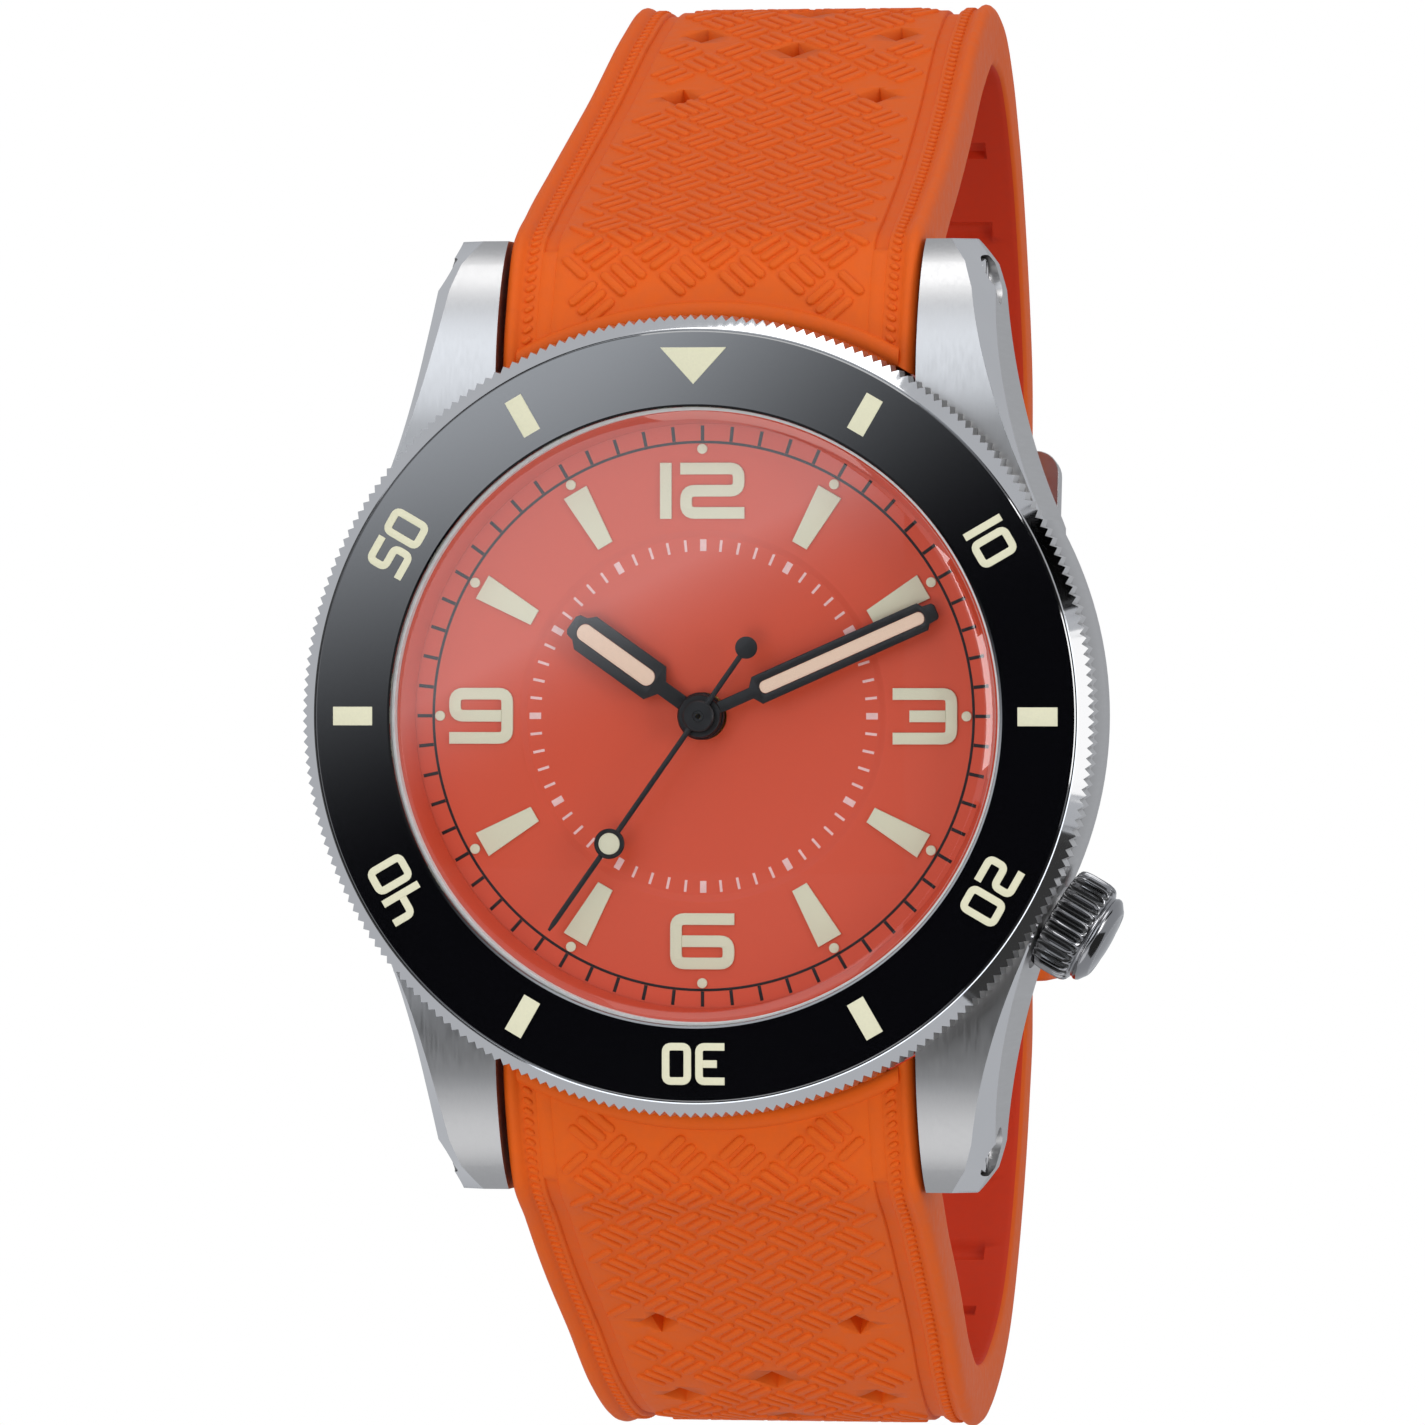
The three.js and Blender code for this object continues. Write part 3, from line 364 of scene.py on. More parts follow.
def crystal_glass():
    material, nodes, links, shader = new_material("sapphire crystal", "crystal_glass", (0.95, 0.97, 1.0),
        0.02)
    nodes.remove(shader)
    clear = nodes.new("ShaderNodeBsdfTransparent")
    clear.inputs["Color"].default_value = (0.985, 0.99, 1.0, 1)
    gloss = nodes.new("ShaderNodeBsdfGlossy")
    gloss.inputs["Roughness"].default_value = 0.015
    facing = nodes.new("ShaderNodeFresnel")
    facing.inputs["IOR"].default_value = SAPPHIRE_IOR
    both = nodes.new("ShaderNodeMixShader")
    side = nodes.new("ShaderNodeNewGeometry")
    front_only = nodes.new("ShaderNodeMath")
    front_only.operation = "MULTIPLY"
    turned_away = nodes.new("ShaderNodeMath")
    turned_away.operation = "SUBTRACT"
    turned_away.inputs[0].default_value = 1
    links.new(side.outputs["Backfacing"], turned_away.inputs[1])
    links.new(facing.outputs["Fac"], front_only.inputs[0])
    links.new(turned_away.outputs[0], front_only.inputs[1])
    links.new(front_only.outputs[0], both.inputs[0])
    links.new(clear.outputs["BSDF"], both.inputs[1])
    links.new(gloss.outputs["BSDF"], both.inputs[2])
    links.new(both.outputs["Shader"], nodes["Material Output"].inputs["Surface"])
    return material


BRUSHED_UP = brushed("steel brushed along the lugs", (9, 9, 0.5), 0.56)
BRUSHED_SIDE = brushed("steel brushed round the case", (0.25, 0.25, 6), 0.52)
TURNED_STEEL = brushed("turned steel", (2, 2, 2), 0.6)
POLISHED = grained("polished steel", "polished_steel", (0.75, 0.75, 0.76), 0.07, 1.0, 500, 0.02, 0.001)
# Painted shade: polished steel darker than the case's, so the crown's reflections come out dim.
CROWN_SHADED_STEEL = grained("polished crown steel", "polished_steel", (0.36, 0.36, 0.37), 0.1, 1.0, 500, 0.02,
    0.001)
# Painted shade: a dark copy of the polished steel for the faces deep in the crown's flutes.
GROOVE_SHADE_STEEL = grained("painted shade in the crown's grooves", "polished_steel", (0.12, 0.12, 0.12), 0.3, 1.0,
    500, 0.02, 0.001)
INSERT_BLACK = grained("gloss black ceramic insert", "insert_black", (0.003, 0.003, 0.004), 0.06, 0.0,
    4000, 0.2, 0.0002)
INSERT_BLACK.node_tree.nodes["Principled BSDF"].inputs["IOR"].default_value = GLOSS_IOR
DIAL_ORANGE = grained("orange dial paint", "dial_orange", (0.68, 0.084, 0.034), 0.5, 0.0, 5000, 0.05,
    0.003)
PRINT_DARK = grained("dark dial print", "print_dark", (0.010, 0.006, 0.006), 0.6)
PRINT_PALE = grained("pale dial print", "lume_peach", (0.86, 0.55, 0.50), 0.6)
LUME_CREAM = grained("cream luminous paint", "lume_cream", (0.73, 0.70, 0.50), 0.75, 0.0, 9000, 0.06,
    0.01)
LUME_PEACH = grained("peach luminous paint", "lume_peach", (0.86, 0.62, 0.45), 0.75, 0.0, 9000, 0.06,
    0.01)
HAND_BLACK = grained("matt black hands", "hand_black", (0.010, 0.010, 0.010), 0.45, 0.0, 6000, 0.25,
    0.004)
RUBBER = grained("orange rubber", "strap_rubber", (0.76, 0.112, 0.005), 0.6, 0.0, 1800, 0.06, 0.006)
# Painted shade: a darker, redder copy of the orange rubber for the strap's inner face.
SHADED_RUBBER = grained("deep orange rubber", "strap_rubber", (0.66, 0.040, 0.008), 0.6, 0.0, 1800, 0.06,
    0.006)
for rubber in (RUBBER, SHADED_RUBBER):
    rubber.node_tree.nodes["Principled BSDF"].inputs["Specular IOR Level"].default_value = 0.25
BLACK_RUBBER = grained("black rubber", "black_rubber", (0.012, 0.012, 0.012), 0.6)
GASKET_WHITE = grained("white plastic", "gasket_white", (0.80, 0.79, 0.76), 0.5)
BRASS = grained("brass", "brass", (0.60, 0.42, 0.13), 0.3, 1.0)
COPPER = grained("copper wire", "copper", (0.60, 0.22, 0.08), 0.35, 1.0)
BOARD_GREEN = grained("circuit board", "board_green", (0.02, 0.18, 0.06), 0.5)
CRYSTAL = crystal_glass()


# ---------- mid case ----------
def bezier(points, t):
    while len(points) > 1:
        points = [mix(a, b, t) for a, b in zip(points, points[1:])]
    return points[0]


def along(curve_y, curve_v, y):
    """The second coordinate of a curve where its first one is y, for curves that rise steadily in y."""
    low, high = 0.0, 1.0
    for _ in range(30):
        half = (low + high) / 2
        if (bezier(curve_y, half) < y) == (curve_y[-1] > curve_y[0]):
            low = half
        else:
            high = half
    return bezier(curve_v, (low + high) / 2)


def lug_section(y):
    """Half a lug's cut across at y: (x, z) points from the inner foot over the top to the outer foot."""
    if y < 22.5:
        outer = along([10.0, 13.6, 18.0, 22.5], [18.1, 16.4, 15.3, 14.95], max(y, 10.0))
    elif y < 23.9:
        outer = mix(14.95, 14.6, (y - 22.5) / 1.4)
    else:
        outer = mix(14.6, 13.8, (y - 23.9) / 1.25)
    if y < 15.5:
        top = 8.9
    elif y < 19.5:
        top = along([15.5, 17.6, 19.5], [8.9, 8.86, 8.5], y)
    else:
        top = along([19.5, 23.6, 25.16], [8.5, 7.4, 5.0], y)
    # The underside lies a little above the case's bottom edge, so that no two faces coincide.
    bottom = 0.95 if y < 22.5 else along([22.5, 24.6, 25.16], [0.95, 1.2, 3.4], y)
    bevel = 0.1 + 0.09 * max(0, y - 12.5)
    drop = min(bevel * 2.0, (top - bottom) * 0.5)
    return [
        (11.2, bottom), (11.2, top), (outer - bevel, top), (outer, top - drop), (outer, bottom + 0.25),
        (outer - 0.3, bottom),
    ]


def lug(number, sx, sy):
    stations = [8.9 + 0.5 * i for i in range(27)] + [22.5, 22.9, 23.4, 23.8, 23.9, 24.2, 24.5, 24.75,
        24.95, 25.08, 25.15]
    rows = [[(sx * x, sy * y, z) for x, z in lug_section(y)] for y in stations]
    mesh = grid_mesh("lug", rows, ends=True)
    for face in mesh.polygons:
        face.material_index = [1, 0, 2, 1, 1,
            1][face.index % 6] if face.index < 6 * (len(rows) - 1) else 2
    piece = new_piece(f"lug_{number}", mesh, [BRUSHED_UP, BRUSHED_SIDE, POLISHED], "case", ["mid_case"],
        smooth_angle=22, edge=0.09)
    at_bar = Matrix.Translation((0, sy * BAR_Y, BAR_Z)) @ LAID
    cuts = [disc_mesh(1.3, 13.55 * sx, 18 * sx, place=at_bar),
        disc_mesh(0.65, 10 * sx, 15 * sx, place=at_bar)]
    if (sx, sy) == (1, -1):
        cuts.append(disc_mesh(3.1, 20.85, 27, 64, AT_CROWN @ LAID))
        cuts.append(disc_mesh(1.62, 14.5, 21, 48, AT_CROWN @ LAID))
    carve(piece, *cuts)


def case():
    body = turned("case_body", [
        (15.4, 1.6), (16.5, 1.6), (18.55, 1.6), (18.55, 0.95), (18.6, 0.9), (19.35, 0.9), (19.45, 0.95),
        (20.66, 2.92), (20.7, 3.05),
        (20.7, 8.5), (20.64, 8.62), (20.36, 8.86), (20.25, 8.9), (17.6, 8.9), (17.6, 11.7), (17.5, 11.8),
        (16.5, 11.8), (16.5, 9.0), (15.4, 9.0), (15.4, 1.6),
    ], 192)
    piece = new_piece("case_body", body, BRUSHED_SIDE, "case", ["mid_case"], smooth_angle=30)
    carve(piece, disc_mesh(1.62, 14.5, 22, 48, AT_CROWN @ LAID))
    for number, (sx, sy) in enumerate([(1, 1), (-1, 1), (-1, -1), (1, -1)], 1):
        lug(number, sx, sy)


def slotted_screw(name, node, r, height, place, slot_width, turn=0):
    head = turned(name, [(0, 0), (0.6 * r, 0), (r * 0.88, 0.02), (r, 0.1), (r, height), (0, height)], 48)
    piece = new_piece(name, head, POLISHED, "case", [node], place)
    slot = box_mesh(-r * 1.2, r * 1.2, -slot_width / 2, slot_width / 2, -1, height * 0.5)
    slot.transform(place @ Matrix.Rotation(math.radians(turn), 4, "Z"))
    carve(piece, slot)


def case_back():
    rings = [(0, 0.12), (11.6, 0.12), (11.7, 0.0), (12.6, 0.0), (12.7, 0.1), (13.0, 0.1), (13.1, 0.0)]
    disc = turned("case_back_plate", rings + [
        (18.05, 0), (18.2, 0.06), (18.36, 0.24), (18.4, 0.36), (18.4, 1.55), (15.25, 1.55),
        (15.25, 1.85), (0, 1.85),
    ], 160)
    piece = new_piece("case_back_plate", disc, TURNED_STEEL, "case", ["case_back"], smooth_angle=25)
    angles = [30 + 60 * i for i in range(6)]
    spots = [(17.5 * math.cos(math.radians(a)), 17.5 * math.sin(math.radians(a))) for a in angles]
    carve(piece, *[disc_mesh(0.82, -1, 0.55, 40, Matrix.Translation((x, y, 0))) for x, y in spots])
    for i, (x, y) in enumerate(spots, 1):
        place = Matrix.Translation((x, y, 0.1))
        slotted_screw(f"back_screw_head_{i}", f"case_back_screw_{i}", 0.77, 0.44, place, 0.22,
            turn=40 * i)


def lug_screws():
    for i, (sx, sy) in enumerate([(1, 1), (-1, 1), (-1, -1), (1, -1)], 1):
        facing = Matrix.Rotation(math.radians(-90 * sx), 4, "Y")
        place = Matrix.Translation((14.3 * sx, sy * BAR_Y, BAR_Z)) @ facing
        slotted_screw(f"lug_screw_head_{i}", f"lug_screw_{i}", 1.1, 0.7, place, 0.3, turn=90)


# ---------- bezel ----------
TEETH = 240


def bezel():
    samples = TEETH * 4

    def chamfer(r):
        return 12.1 - (r - 20.25) * 0.92

    rows = [[] for _ in range(16)]
    for i in range(samples):
        angle = TAU * i / samples
        tooth = 21.0 - 0.28 * abs((i % 4) - 2) / 2
        profile = [
            (17.75, 9.15), (20.4, 9.15), (20.62, 9.35), (tooth, 9.62), (tooth, 10.4),
            (tooth, chamfer(tooth)),
            (20.32, 12.05), (20.26, 12.1), (20.2, 12.08), (20.2, 11.82), (17.75, 11.82),
            (17.75, 10.6), (18.02, 10.6), (18.02, 10.04), (17.75, 10.04), (17.75, 9.15),
        ]
        for row, (r, z) in zip(rows, profile):
            row.append((r * math.cos(angle), r * math.sin(angle), z))
    mesh = grid_mesh("bezel_grip", rows)
    for face in mesh.polygons:
        face.material_index = 1 if face.index // samples in (1, 2, 3, 4) else 0
    new_piece("bezel_grip", mesh, [POLISHED, TURNED_STEEL], "bezel", ["bezel_ring"], smooth_angle=24)
    insert = turned("bezel_disc", [
        (16.15, 11.87), (20.14, 11.87), (20.14, 12.14), (20.08, 12.18), (16.3, 12.29), (16.18, 12.27),
        (16.15, 12.2),
        (16.15, 11.87),
    ], 256)
    new_piece("bezel_disc", insert, INSERT_BLACK, "bezel", ["bezel_insert"], smooth_angle=6)
    marks = [[polar(19.35, -5.2), polar(19.35, 5.2), (0, 17.35)]]
    for minutes in range(5, 60, 10):
        marks += moved([[(-0.49, 17.1), (0.49, 17.1), (0.49, 19.2), (-0.49, 19.2)]], minutes * 6)
    for minutes in range(10, 60, 10):
        digits = number(str(minutes), 1.55, 2.2, 0.4, 0.22)
        marks += moved([[(x, y + 18.15) for x, y in outline] for outline in digits], minutes * 6)
    lift = 12.235
    new_piece("bezel_marks", plate("bezel_marks", marks, lift - 0.1, lift + 0.045, 0.02), LUME_CREAM,
        "bezel")


# ---------- dial ----------
def dial():
    disc = turned("dial_face", [
        (1.25, 9.02), (16.35, 9.02), (16.35, DIAL_Z), (9.82, DIAL_Z), (9.7, DIAL_Z - 0.02),
        (9.46, DIAL_Z - 0.2),
        (9.36, DIAL_Z - 0.22), (1.25, DIAL_Z - 0.22), (1.25, 9.02),
    ], 256)
    new_piece("dial_face", disc, DIAL_ORANGE, "case", ["dial"], smooth_angle=50)
    rehaut = turned("flange_face", [
        (15.35, 9.45), (16.38, 9.45), (16.38, 11.05), (16.0, 11.05), (15.9, 10.95), (15.38, 9.6),
        (15.35, 9.45),
    ], 256)
    new_piece("flange_face", rehaut, DIAL_ORANGE, "case", ["flange_ring"], smooth_angle=50)
    track = [circle(14.45, segments=256), circle(14.31, segments=256)]
    for minute in range(60):
        track += moved([[(-0.09, 14.46), (0.09, 14.46), (0.09, 15.25), (-0.09, 15.25)]], minute * 6)
    new_piece("minute_track", plate("minute_track", track, DIAL_Z, DIAL_Z + 0.012, 0.002), PRINT_DARK,
        "case")
    ticks = []
    for minute in range(60):
        half = 0.07 if minute % 5 else 0.17
        ticks += moved([[(-half, 8.66), (half, 8.66), (half, 9.28), (-half, 9.28)]], minute * 6)
    sunk = DIAL_Z - 0.22
    new_piece("inner_track", plate("inner_track", ticks, sunk, sunk + 0.012, 0.002), PRINT_PALE, "case")
    raised = []
    for hour in range(12):
        raised += moved([circle(0.265, segments=32)], x=polar(14.02, hour * 30)[0],
            y=polar(14.02, hour * 30)[1])
        if hour % 3:
            raised += moved([[(-0.44, 10.33), (0.44, 10.33), (0.7, 13.57), (-0.7, 13.57)]], hour * 30)
    for hour, text in ((0, "12"), (3, "3"), (6, "6"), (9, "9")):
        x, y = polar(11.82, hour * 30)
        raised += moved(number(text, 3.42, 2.95, 0.62, 0.46), x=x, y=y)
    new_piece("hour_marks", plate("hour_marks", raised, DIAL_Z - 0.02, DIAL_Z + 0.16, 0.04), LUME_CREAM,
        "case")


def crystal():
    glass = turned("crystal_disc", [
        (0, 11.1), (15.93, 11.1), (15.95, 11.15), (15.95, 12.48), (15.5, 12.88), (15.42, 12.9), (0, 12.9),
    ], 256)
    new_piece("crystal_disc", glass, CRYSTAL, "case", ["crystal"], smooth_angle=30)
    gasket = turned("crystal_seal", [(16.0, 11.1), (16.44, 11.1), (16.44, 11.8), (16.0, 11.8),
        (16.0, 11.1)], 192)
    new_piece("crystal_seal", gasket, GASKET_WHITE, "case", ["crystal_gasket"])


# ---------- hands ----------
def blade(stations):
    return [(half, y) for y, half in stations] + [(-half, y) for y, half in reversed(stations)]


def hand(name, body, node, at, z0, z1, outlines, hub, lume, lume_material):
    """A hand with its hub, and its luminous filling a little below its top."""
    turn = Matrix.Rotation(-math.radians(at), 4, "Z")
    new_piece(name, plate(name, outlines, z0, z1, 0.04), HAND_BLACK, body, [node], turn, smooth_angle=50)
    new_piece(f"{name}_hub", turned("hub", hub, 64), HAND_BLACK, body, place=turn, smooth_angle=40)
    new_piece(f"{name}_lume", plate("lume", lume, z0 + 0.02, z1 - 0.02, 0.02), lume_material, body,
        place=turn)


def slot_outline(y0, y1, half):
    return rounded_box(-half, half, y0, y1, half * 0.92, 8)


def hands():
    hour_body = blade([(0.8, 0.39), (2.55, 0.39), (3.0, 1.05), (7.55, 1.05), (7.9, 0.7), (8.3, 0.62),
        (8.45, 0.42)])
    hour_hub = [(1.02, 9.8), (1.22, 9.8), (1.25, 9.83), (1.25, 9.97), (1.2, 10.03), (1.02, 10.03),
        (1.02, 9.8)]
    hand("hour_blade", "hours", "hour_hand", 305.3, 9.8, 9.98, [hour_body, slot_outline(3.1, 8.0, 0.47)],
         hour_hub, [slot_outline(3.12, 7.98, 0.45)], LUME_PEACH)
    minute_body = blade([(0.6, 0.31), (3.0, 0.31), (3.35, 0.77), (12.9, 0.77), (13.1, 0.5), (13.6, 0.45),
        (13.72, 0.3)])
    minute_hub = [(0.8, 10.2), (1.12, 10.2), (1.15, 10.23), (1.15, 10.38), (1.1, 10.44), (0.8, 10.44),
        (0.8, 10.2)]
    hand("minute_blade", "minutes", "minute_hand", 66.2, 10.2, 10.38,
        [minute_body, slot_outline(3.5, 13.0, 0.345)],
         minute_hub, [slot_outline(3.52, 12.98, 0.33)], LUME_PEACH)
    rod = blade([(-4.4, 0.14), (13.3, 0.14), (13.8, 0.07)])
    eye = 8.2
    second_body = [rod, circle(0.585, y=-4.4, segments=40)]
    second_hub = [
        (0.0, 10.6), (0.8, 10.6), (0.83, 10.64), (0.83, 10.76), (0.76, 10.82), (0.3, 10.82),
        (0.27, 10.78), (0.14, 10.78),
        (0.12, 10.72), (0, 10.72),
    ]
    turn = Matrix.Rotation(-math.radians(215.3), 4, "Z")
    new_piece("second_rod", plate("rod", [rod], 10.62, 10.74, 0.03), HAND_BLACK, "seconds",
        ["second_hand"], turn)
    new_piece("second_weight", plate("weight", [second_body[1]], 10.61, 10.77, 0.03), HAND_BLACK,
        "seconds", place=turn)
    ring = turned("ring", [(0.575, 10.6), (0.8, 10.6), (0.8, 10.76), (0.77, 10.79), (0.6, 10.79),
        (0.575, 10.76), (0.575, 10.6)], 48)
    ring.transform(Matrix.Translation((0, eye, 0)))
    new_piece("second_ring", ring, HAND_BLACK, "seconds", place=turn)
    dot = plate("dot", [circle(0.57, y=eye, segments=40)], 10.62, 10.765, 0.03)
    new_piece("second_lume", dot, LUME_CREAM, "seconds", place=turn)
    new_piece("second_hub", turned("hub", second_hub, 64), HAND_BLACK, "seconds", place=turn,
        smooth_angle=40)


# ---------- crown ----------
def crown():
    flutes, samples = 28, 28 * 12
    # Along the axis: distance from the middle of the watch, radius, and how deep the flutes are.
    profile = [
        (22.25, 0.55, 0), (22.25, 1.7, 0), (20.97, 1.7, 0), (20.95, 2.5, 0), (20.99, 2.66, 0.2),
        (21.08, 2.74, 0.6), (21.25, 2.81, 0.9), (21.6, 2.85, 1), (22.3, 2.85, 1),
        (22.65, 2.84, 1), (22.85, 2.8, 0.8), (22.98, 2.74, 0.45), (23.08, 2.64, 0.15), (23.14, 2.52, 0),
        (23.16, 2.42, 0),
        (23.2, 2.36, 0), (23.28, 2.34, 0), (23.34, 2.38, 0), (23.42, 2.42, 0), (23.55, 2.41, 0),
        (23.66, 2.34, 0),
        (23.85, 2.08, 0), (23.95, 1.95, 0), (24.0, 1.84, 0), (24.0, 1.76, 0), (23.97, 1.7, 0),
        (24.02, 1.5, 0), (24.12, 0.9, 0),
        (24.16, 0.4, 0), (24.17, 0, 0),
    ]
    rows = []
    for reach, r, cut in profile:
        row = []
        for i in range(samples):
            angle = TAU * i / samples
            groove = (0.5 - 0.5 * math.cos(flutes * angle)) ** 0.8
            deep = r - 0.36 * cut * groove
            row.append((deep * math.cos(angle), deep * math.sin(angle), reach))
        rows.append(row)
    mesh = grid_mesh("crown_knob", rows)
    for face in mesh.polygons:
        row, i = divmod(face.index, samples)
        # Faces deep in the flutes take the dark steel, as painted shade.
        painted_groove_shade = 0.5 - 0.5 * math.cos(flutes * TAU * (i + 0.5) / samples) > 0.4
        face.material_index = 1 if painted_groove_shade and 4 <= row <= 11 else 0
    new_piece(
        "crown_knob", mesh, [CROWN_SHADED_STEEL, GROOVE_SHADE_STEEL], "crown", ["crown"], AT_CROWN @ LAID,
            smooth_angle=60)
    tube = turned("crown_neck", [
        (0.75, 15.6), (1.6, 15.6), (1.6, 22.0), (1.5, 22.05), (0.8, 22.05), (0.75, 22.0), (0.75, 15.6),
    ], 64)
    new_piece("crown_neck", tube, TURNED_STEEL, "case", ["crown_tube"], AT_CROWN @ LAID)


# ---------- strap ----------
LOOP = [
    (17.5, 8.45), (21.0, 7.6), (25.1, 5.4), (26.9, 1.7), (29.5, -4.6), (33.5, -13.6), (37.6, -22.0),
    (39.4, -27.6), (38.5, -32.6), (36.0, -35.8), (33.1, -38.0), (29.7, -40.0), (22.9, -42.7),
    (18.8, STRAP_BACK_Z), (14.0, STRAP_BACK_Z),
]
TAIL_Z = STRAP_BACK_Z - 3.0
LOW_LOOP = LOOP[:3] + [
    (27.2, 1.9), (30.3, -3.0), (33.6, -8.6), (36.9, -13.8), (39.1, -19.5), (39.3, -25.5), (37.8, -30.5),
    (35.2, -34.6), (31.5, -37.8), (26.5, -40.8), (22.0, -42.7), (18.8, STRAP_BACK_Z),
    (14.0, STRAP_BACK_Z),
]
LONG_PATH = LOOP + [
    (10.5, STRAP_BACK_Z - 0.05), (7.5, STRAP_BACK_Z - 0.35), (3.5, STRAP_BACK_Z - 1.7),
    (0.2, TAIL_Z + 0.1),
    (-3, TAIL_Z), (-8, TAIL_Z), (-13, TAIL_Z), (-18, TAIL_Z),
]
SHORT_PATH = LOW_LOOP + [(9.0, STRAP_BACK_Z), (2.1, STRAP_BACK_Z)]
CASE_GAP_R = 20.98
PANEL = -0.3


class Bend:
    """A smooth line through [y, z] points, read by the length from its start."""

    def __init__(self, points, side, thins=False, diamond_shift=0.0):
        self.side = side
        self.diamonds = [(s + diamond_shift, across) for s, across in DIAMONDS]
        self.thins = thins
        knots = [Vector(p) for p in points]
        knots = [2 * knots[0] - knots[1]] + knots + [2 * knots[-1] - knots[-2]]
        self.line = []
        for p0, p1, p2, p3 in zip(knots, knots[1:], knots[2:], knots[3:]):
            d0, d1, d2 = (math.sqrt((b - a).length) for a, b in ((p0, p1), (p1, p2), (p2, p3)))
            m1 = ((p1 - p0) / d0 - (p2 - p0) / (d0 + d1) + (p2 - p1) / d1) * d1
            m2 = ((p2 - p1) / d1 - (p3 - p1) / (d1 + d2) + (p3 - p2) / d2) * d1
            for k in range(40):
                t = k / 40
                self.line.append(p1 * (2 * t**3 - 3 * t**2 + 1) + m1 * (t**3 - 2 * t**2 + t)
                                 + p2 * (3 * t**2 - 2 * t**3) + m2 * (t**3 - t**2))
        self.line.append(knots[-2])
        self.lengths = [0.0]
        for a, b in zip(self.line, self.line[1:]):
            self.lengths.append(self.lengths[-1] + (b - a).length)
        self.length = self.lengths[-1]

    def spot(self, s):
        i = min(len(self.line) - 2, max(0, bisect_right(self.lengths, s) - 1))
        run = self.line[i + 1] - self.line[i]
        return self.line[i] + run * ((s - self.lengths[i]) / run.length), run.normalized()

    def at(self, x, s, lift):
        """The point x across, s along and lift above the outer face."""
        here, _ = self.spot(s)
        run = (self.spot(s + 0.4)[0] - self.spot(s - 0.4)[0]).normalized()
        return (x, self.side * (here.x - run.y * lift), here.y + run.x * lift)

    def start(self, x):
        """Where the strap begins at x, along the round case."""
        edge = math.sqrt(max(0, CASE_GAP_R**2 - x * x))
        low, high = 0.0, 6.0
        for _ in range(30):
            half = (low + high) / 2
            low, high = (half, high) if self.spot(half)[0].x < edge else (low, half)
        return low

    def half(self, s):
        wide = 11.0 - smoothstep(s, 12, 48)
        if not self.thins:
            return wide
        into = max(0, s - (self.length - 5.5)) / 5.5
        return wide * (0.4 + 0.6 * math.sqrt(max(0, 1 - into * into)))

    def thick(self, s):
        base = 4.5 - 1.1 * smoothstep(s, 9, 20) - 0.4 * smoothstep(s, 45, 60)
        return base - (0.4 * smoothstep(s, self.length - 34, self.length - 20) if self.thins else 0)


def strap_profile(bend, s, channel):
    """The strap cut across at s, as (distance in from the edge, lift, side) points round the section."""
    thick = bend.thick(s)
    sunk = -0.52 if channel else PANEL
    outer = [
        (0.0, -0.7), (0.04, -0.4), (0.14, -0.18), (0.3, -0.04), (0.46, 0.0), (0.62, -0.05),
        (0.78, -0.17), (0.9, PANEL),
        (1.2, PANEL), (1.7, PANEL), (1.76, PANEL - 0.03), (1.82, sunk), (2.15, sunk), (2.48, sunk),
        (2.54, PANEL - 0.03),
        (2.6, PANEL), (3.2, PANEL), (4.6, PANEL), (6.4, PANEL), (8.2, PANEL),
    ]
    groove = abs((s + 2.85) % 5.7 - 2.85)
    deep = 0.4 * (1 - smoothstep(groove, 0.35, 0.55)) if 12 < s < bend.length - 14 else 0
    inner = [
        (8.2, deep), (5.0, deep), (2.4, deep), (1.7, deep), (1.55, 0), (0.5, 0), (0.2, 0.05),
        (0.06, 0.16), (0.0, 0.4),
    ]
    return outer, [(e, lift - thick) for e, lift in inner]


def strap_mesh(bend, channel_from, channel_to):
    root = 9.0
    stations = [root * i / 24 for i in range(25)]
    count = int((bend.length - root) / 0.28)
    stations += [root + (bend.length - root) * (i + 1) / count for i in range(count)]
    rows = []
    for s in stations:
        half = bend.half(s)
        outer, inner = strap_profile(bend, s, channel_from < s < channel_to)
        scale = min(1, half / 9)
        right = [(half - e * scale, lift) for e, lift in outer]
        ring = right + [(-x, lift) for x, lift in reversed(right)]
        under = [(half - e * scale, lift) for e, lift in inner]
        ring += [(-x, lift) for x, lift in reversed(under)] + under
        row = []
        for x, lift in ring:
            here = bend.start(x) + (root - bend.start(x)) * s / root if s < root else s
            px, py, pz = bend.at(x, min(here, bend.length - 1e-4), lift)
            if pz > 0:
                py = bend.side * max(bend.side * py, math.sqrt(CASE_GAP_R**2 - px * px))
            row.append((px, py, pz))
        rows.append(row)
    mesh = grid_mesh("strap", rows, ends=True)
    wide, inside = len(rows[0]), len(outer) * 2
    for face in mesh.polygons:
        column = face.index % wide
        on_skin = face.index < wide * (len(rows) - 1)
        # The faces on the strap's inner side take the darker rubber, as painted shade.
        face.material_index = 1 if on_skin and inside + 2 <= column <= wide - 4 else 0
    return mesh


def capsule(bend, points, faces, x, s, length, width, turn, top, corners=5):
    """A low rounded bar on the strap's outer face."""
    c, n = math.cos(math.radians(turn)), math.sin(math.radians(turn))
    first = len(points)
    rings = [(0.0, PANEL - 0.06), (0.12, mix(PANEL, top, 0.75)), (0.3, top)]
    for inset, lift in rings:
        r = width / 2 * (1 - 1.6 * inset)
        straight = (length - width) / 2
        for end in (1, -1):
            for i in range(corners):
                angle = math.pi * i / (corners - 1) + (0 if end == 1 else math.pi)
                a, b = r * math.cos(angle), r * math.sin(angle) + end * straight
                points.append(bend.at(x + a * c - b * n, s + a * n + b * c, lift))
    ring = 2 * corners
    for k in range(len(rings) - 1):
        for i in range(ring):
            j = (i + 1) % ring
            a = first + k * ring
            faces.append((a + i, a + j, a + ring + j, a + ring + i))
    faces.append(tuple(first + 2 * ring + i for i in range(ring)))


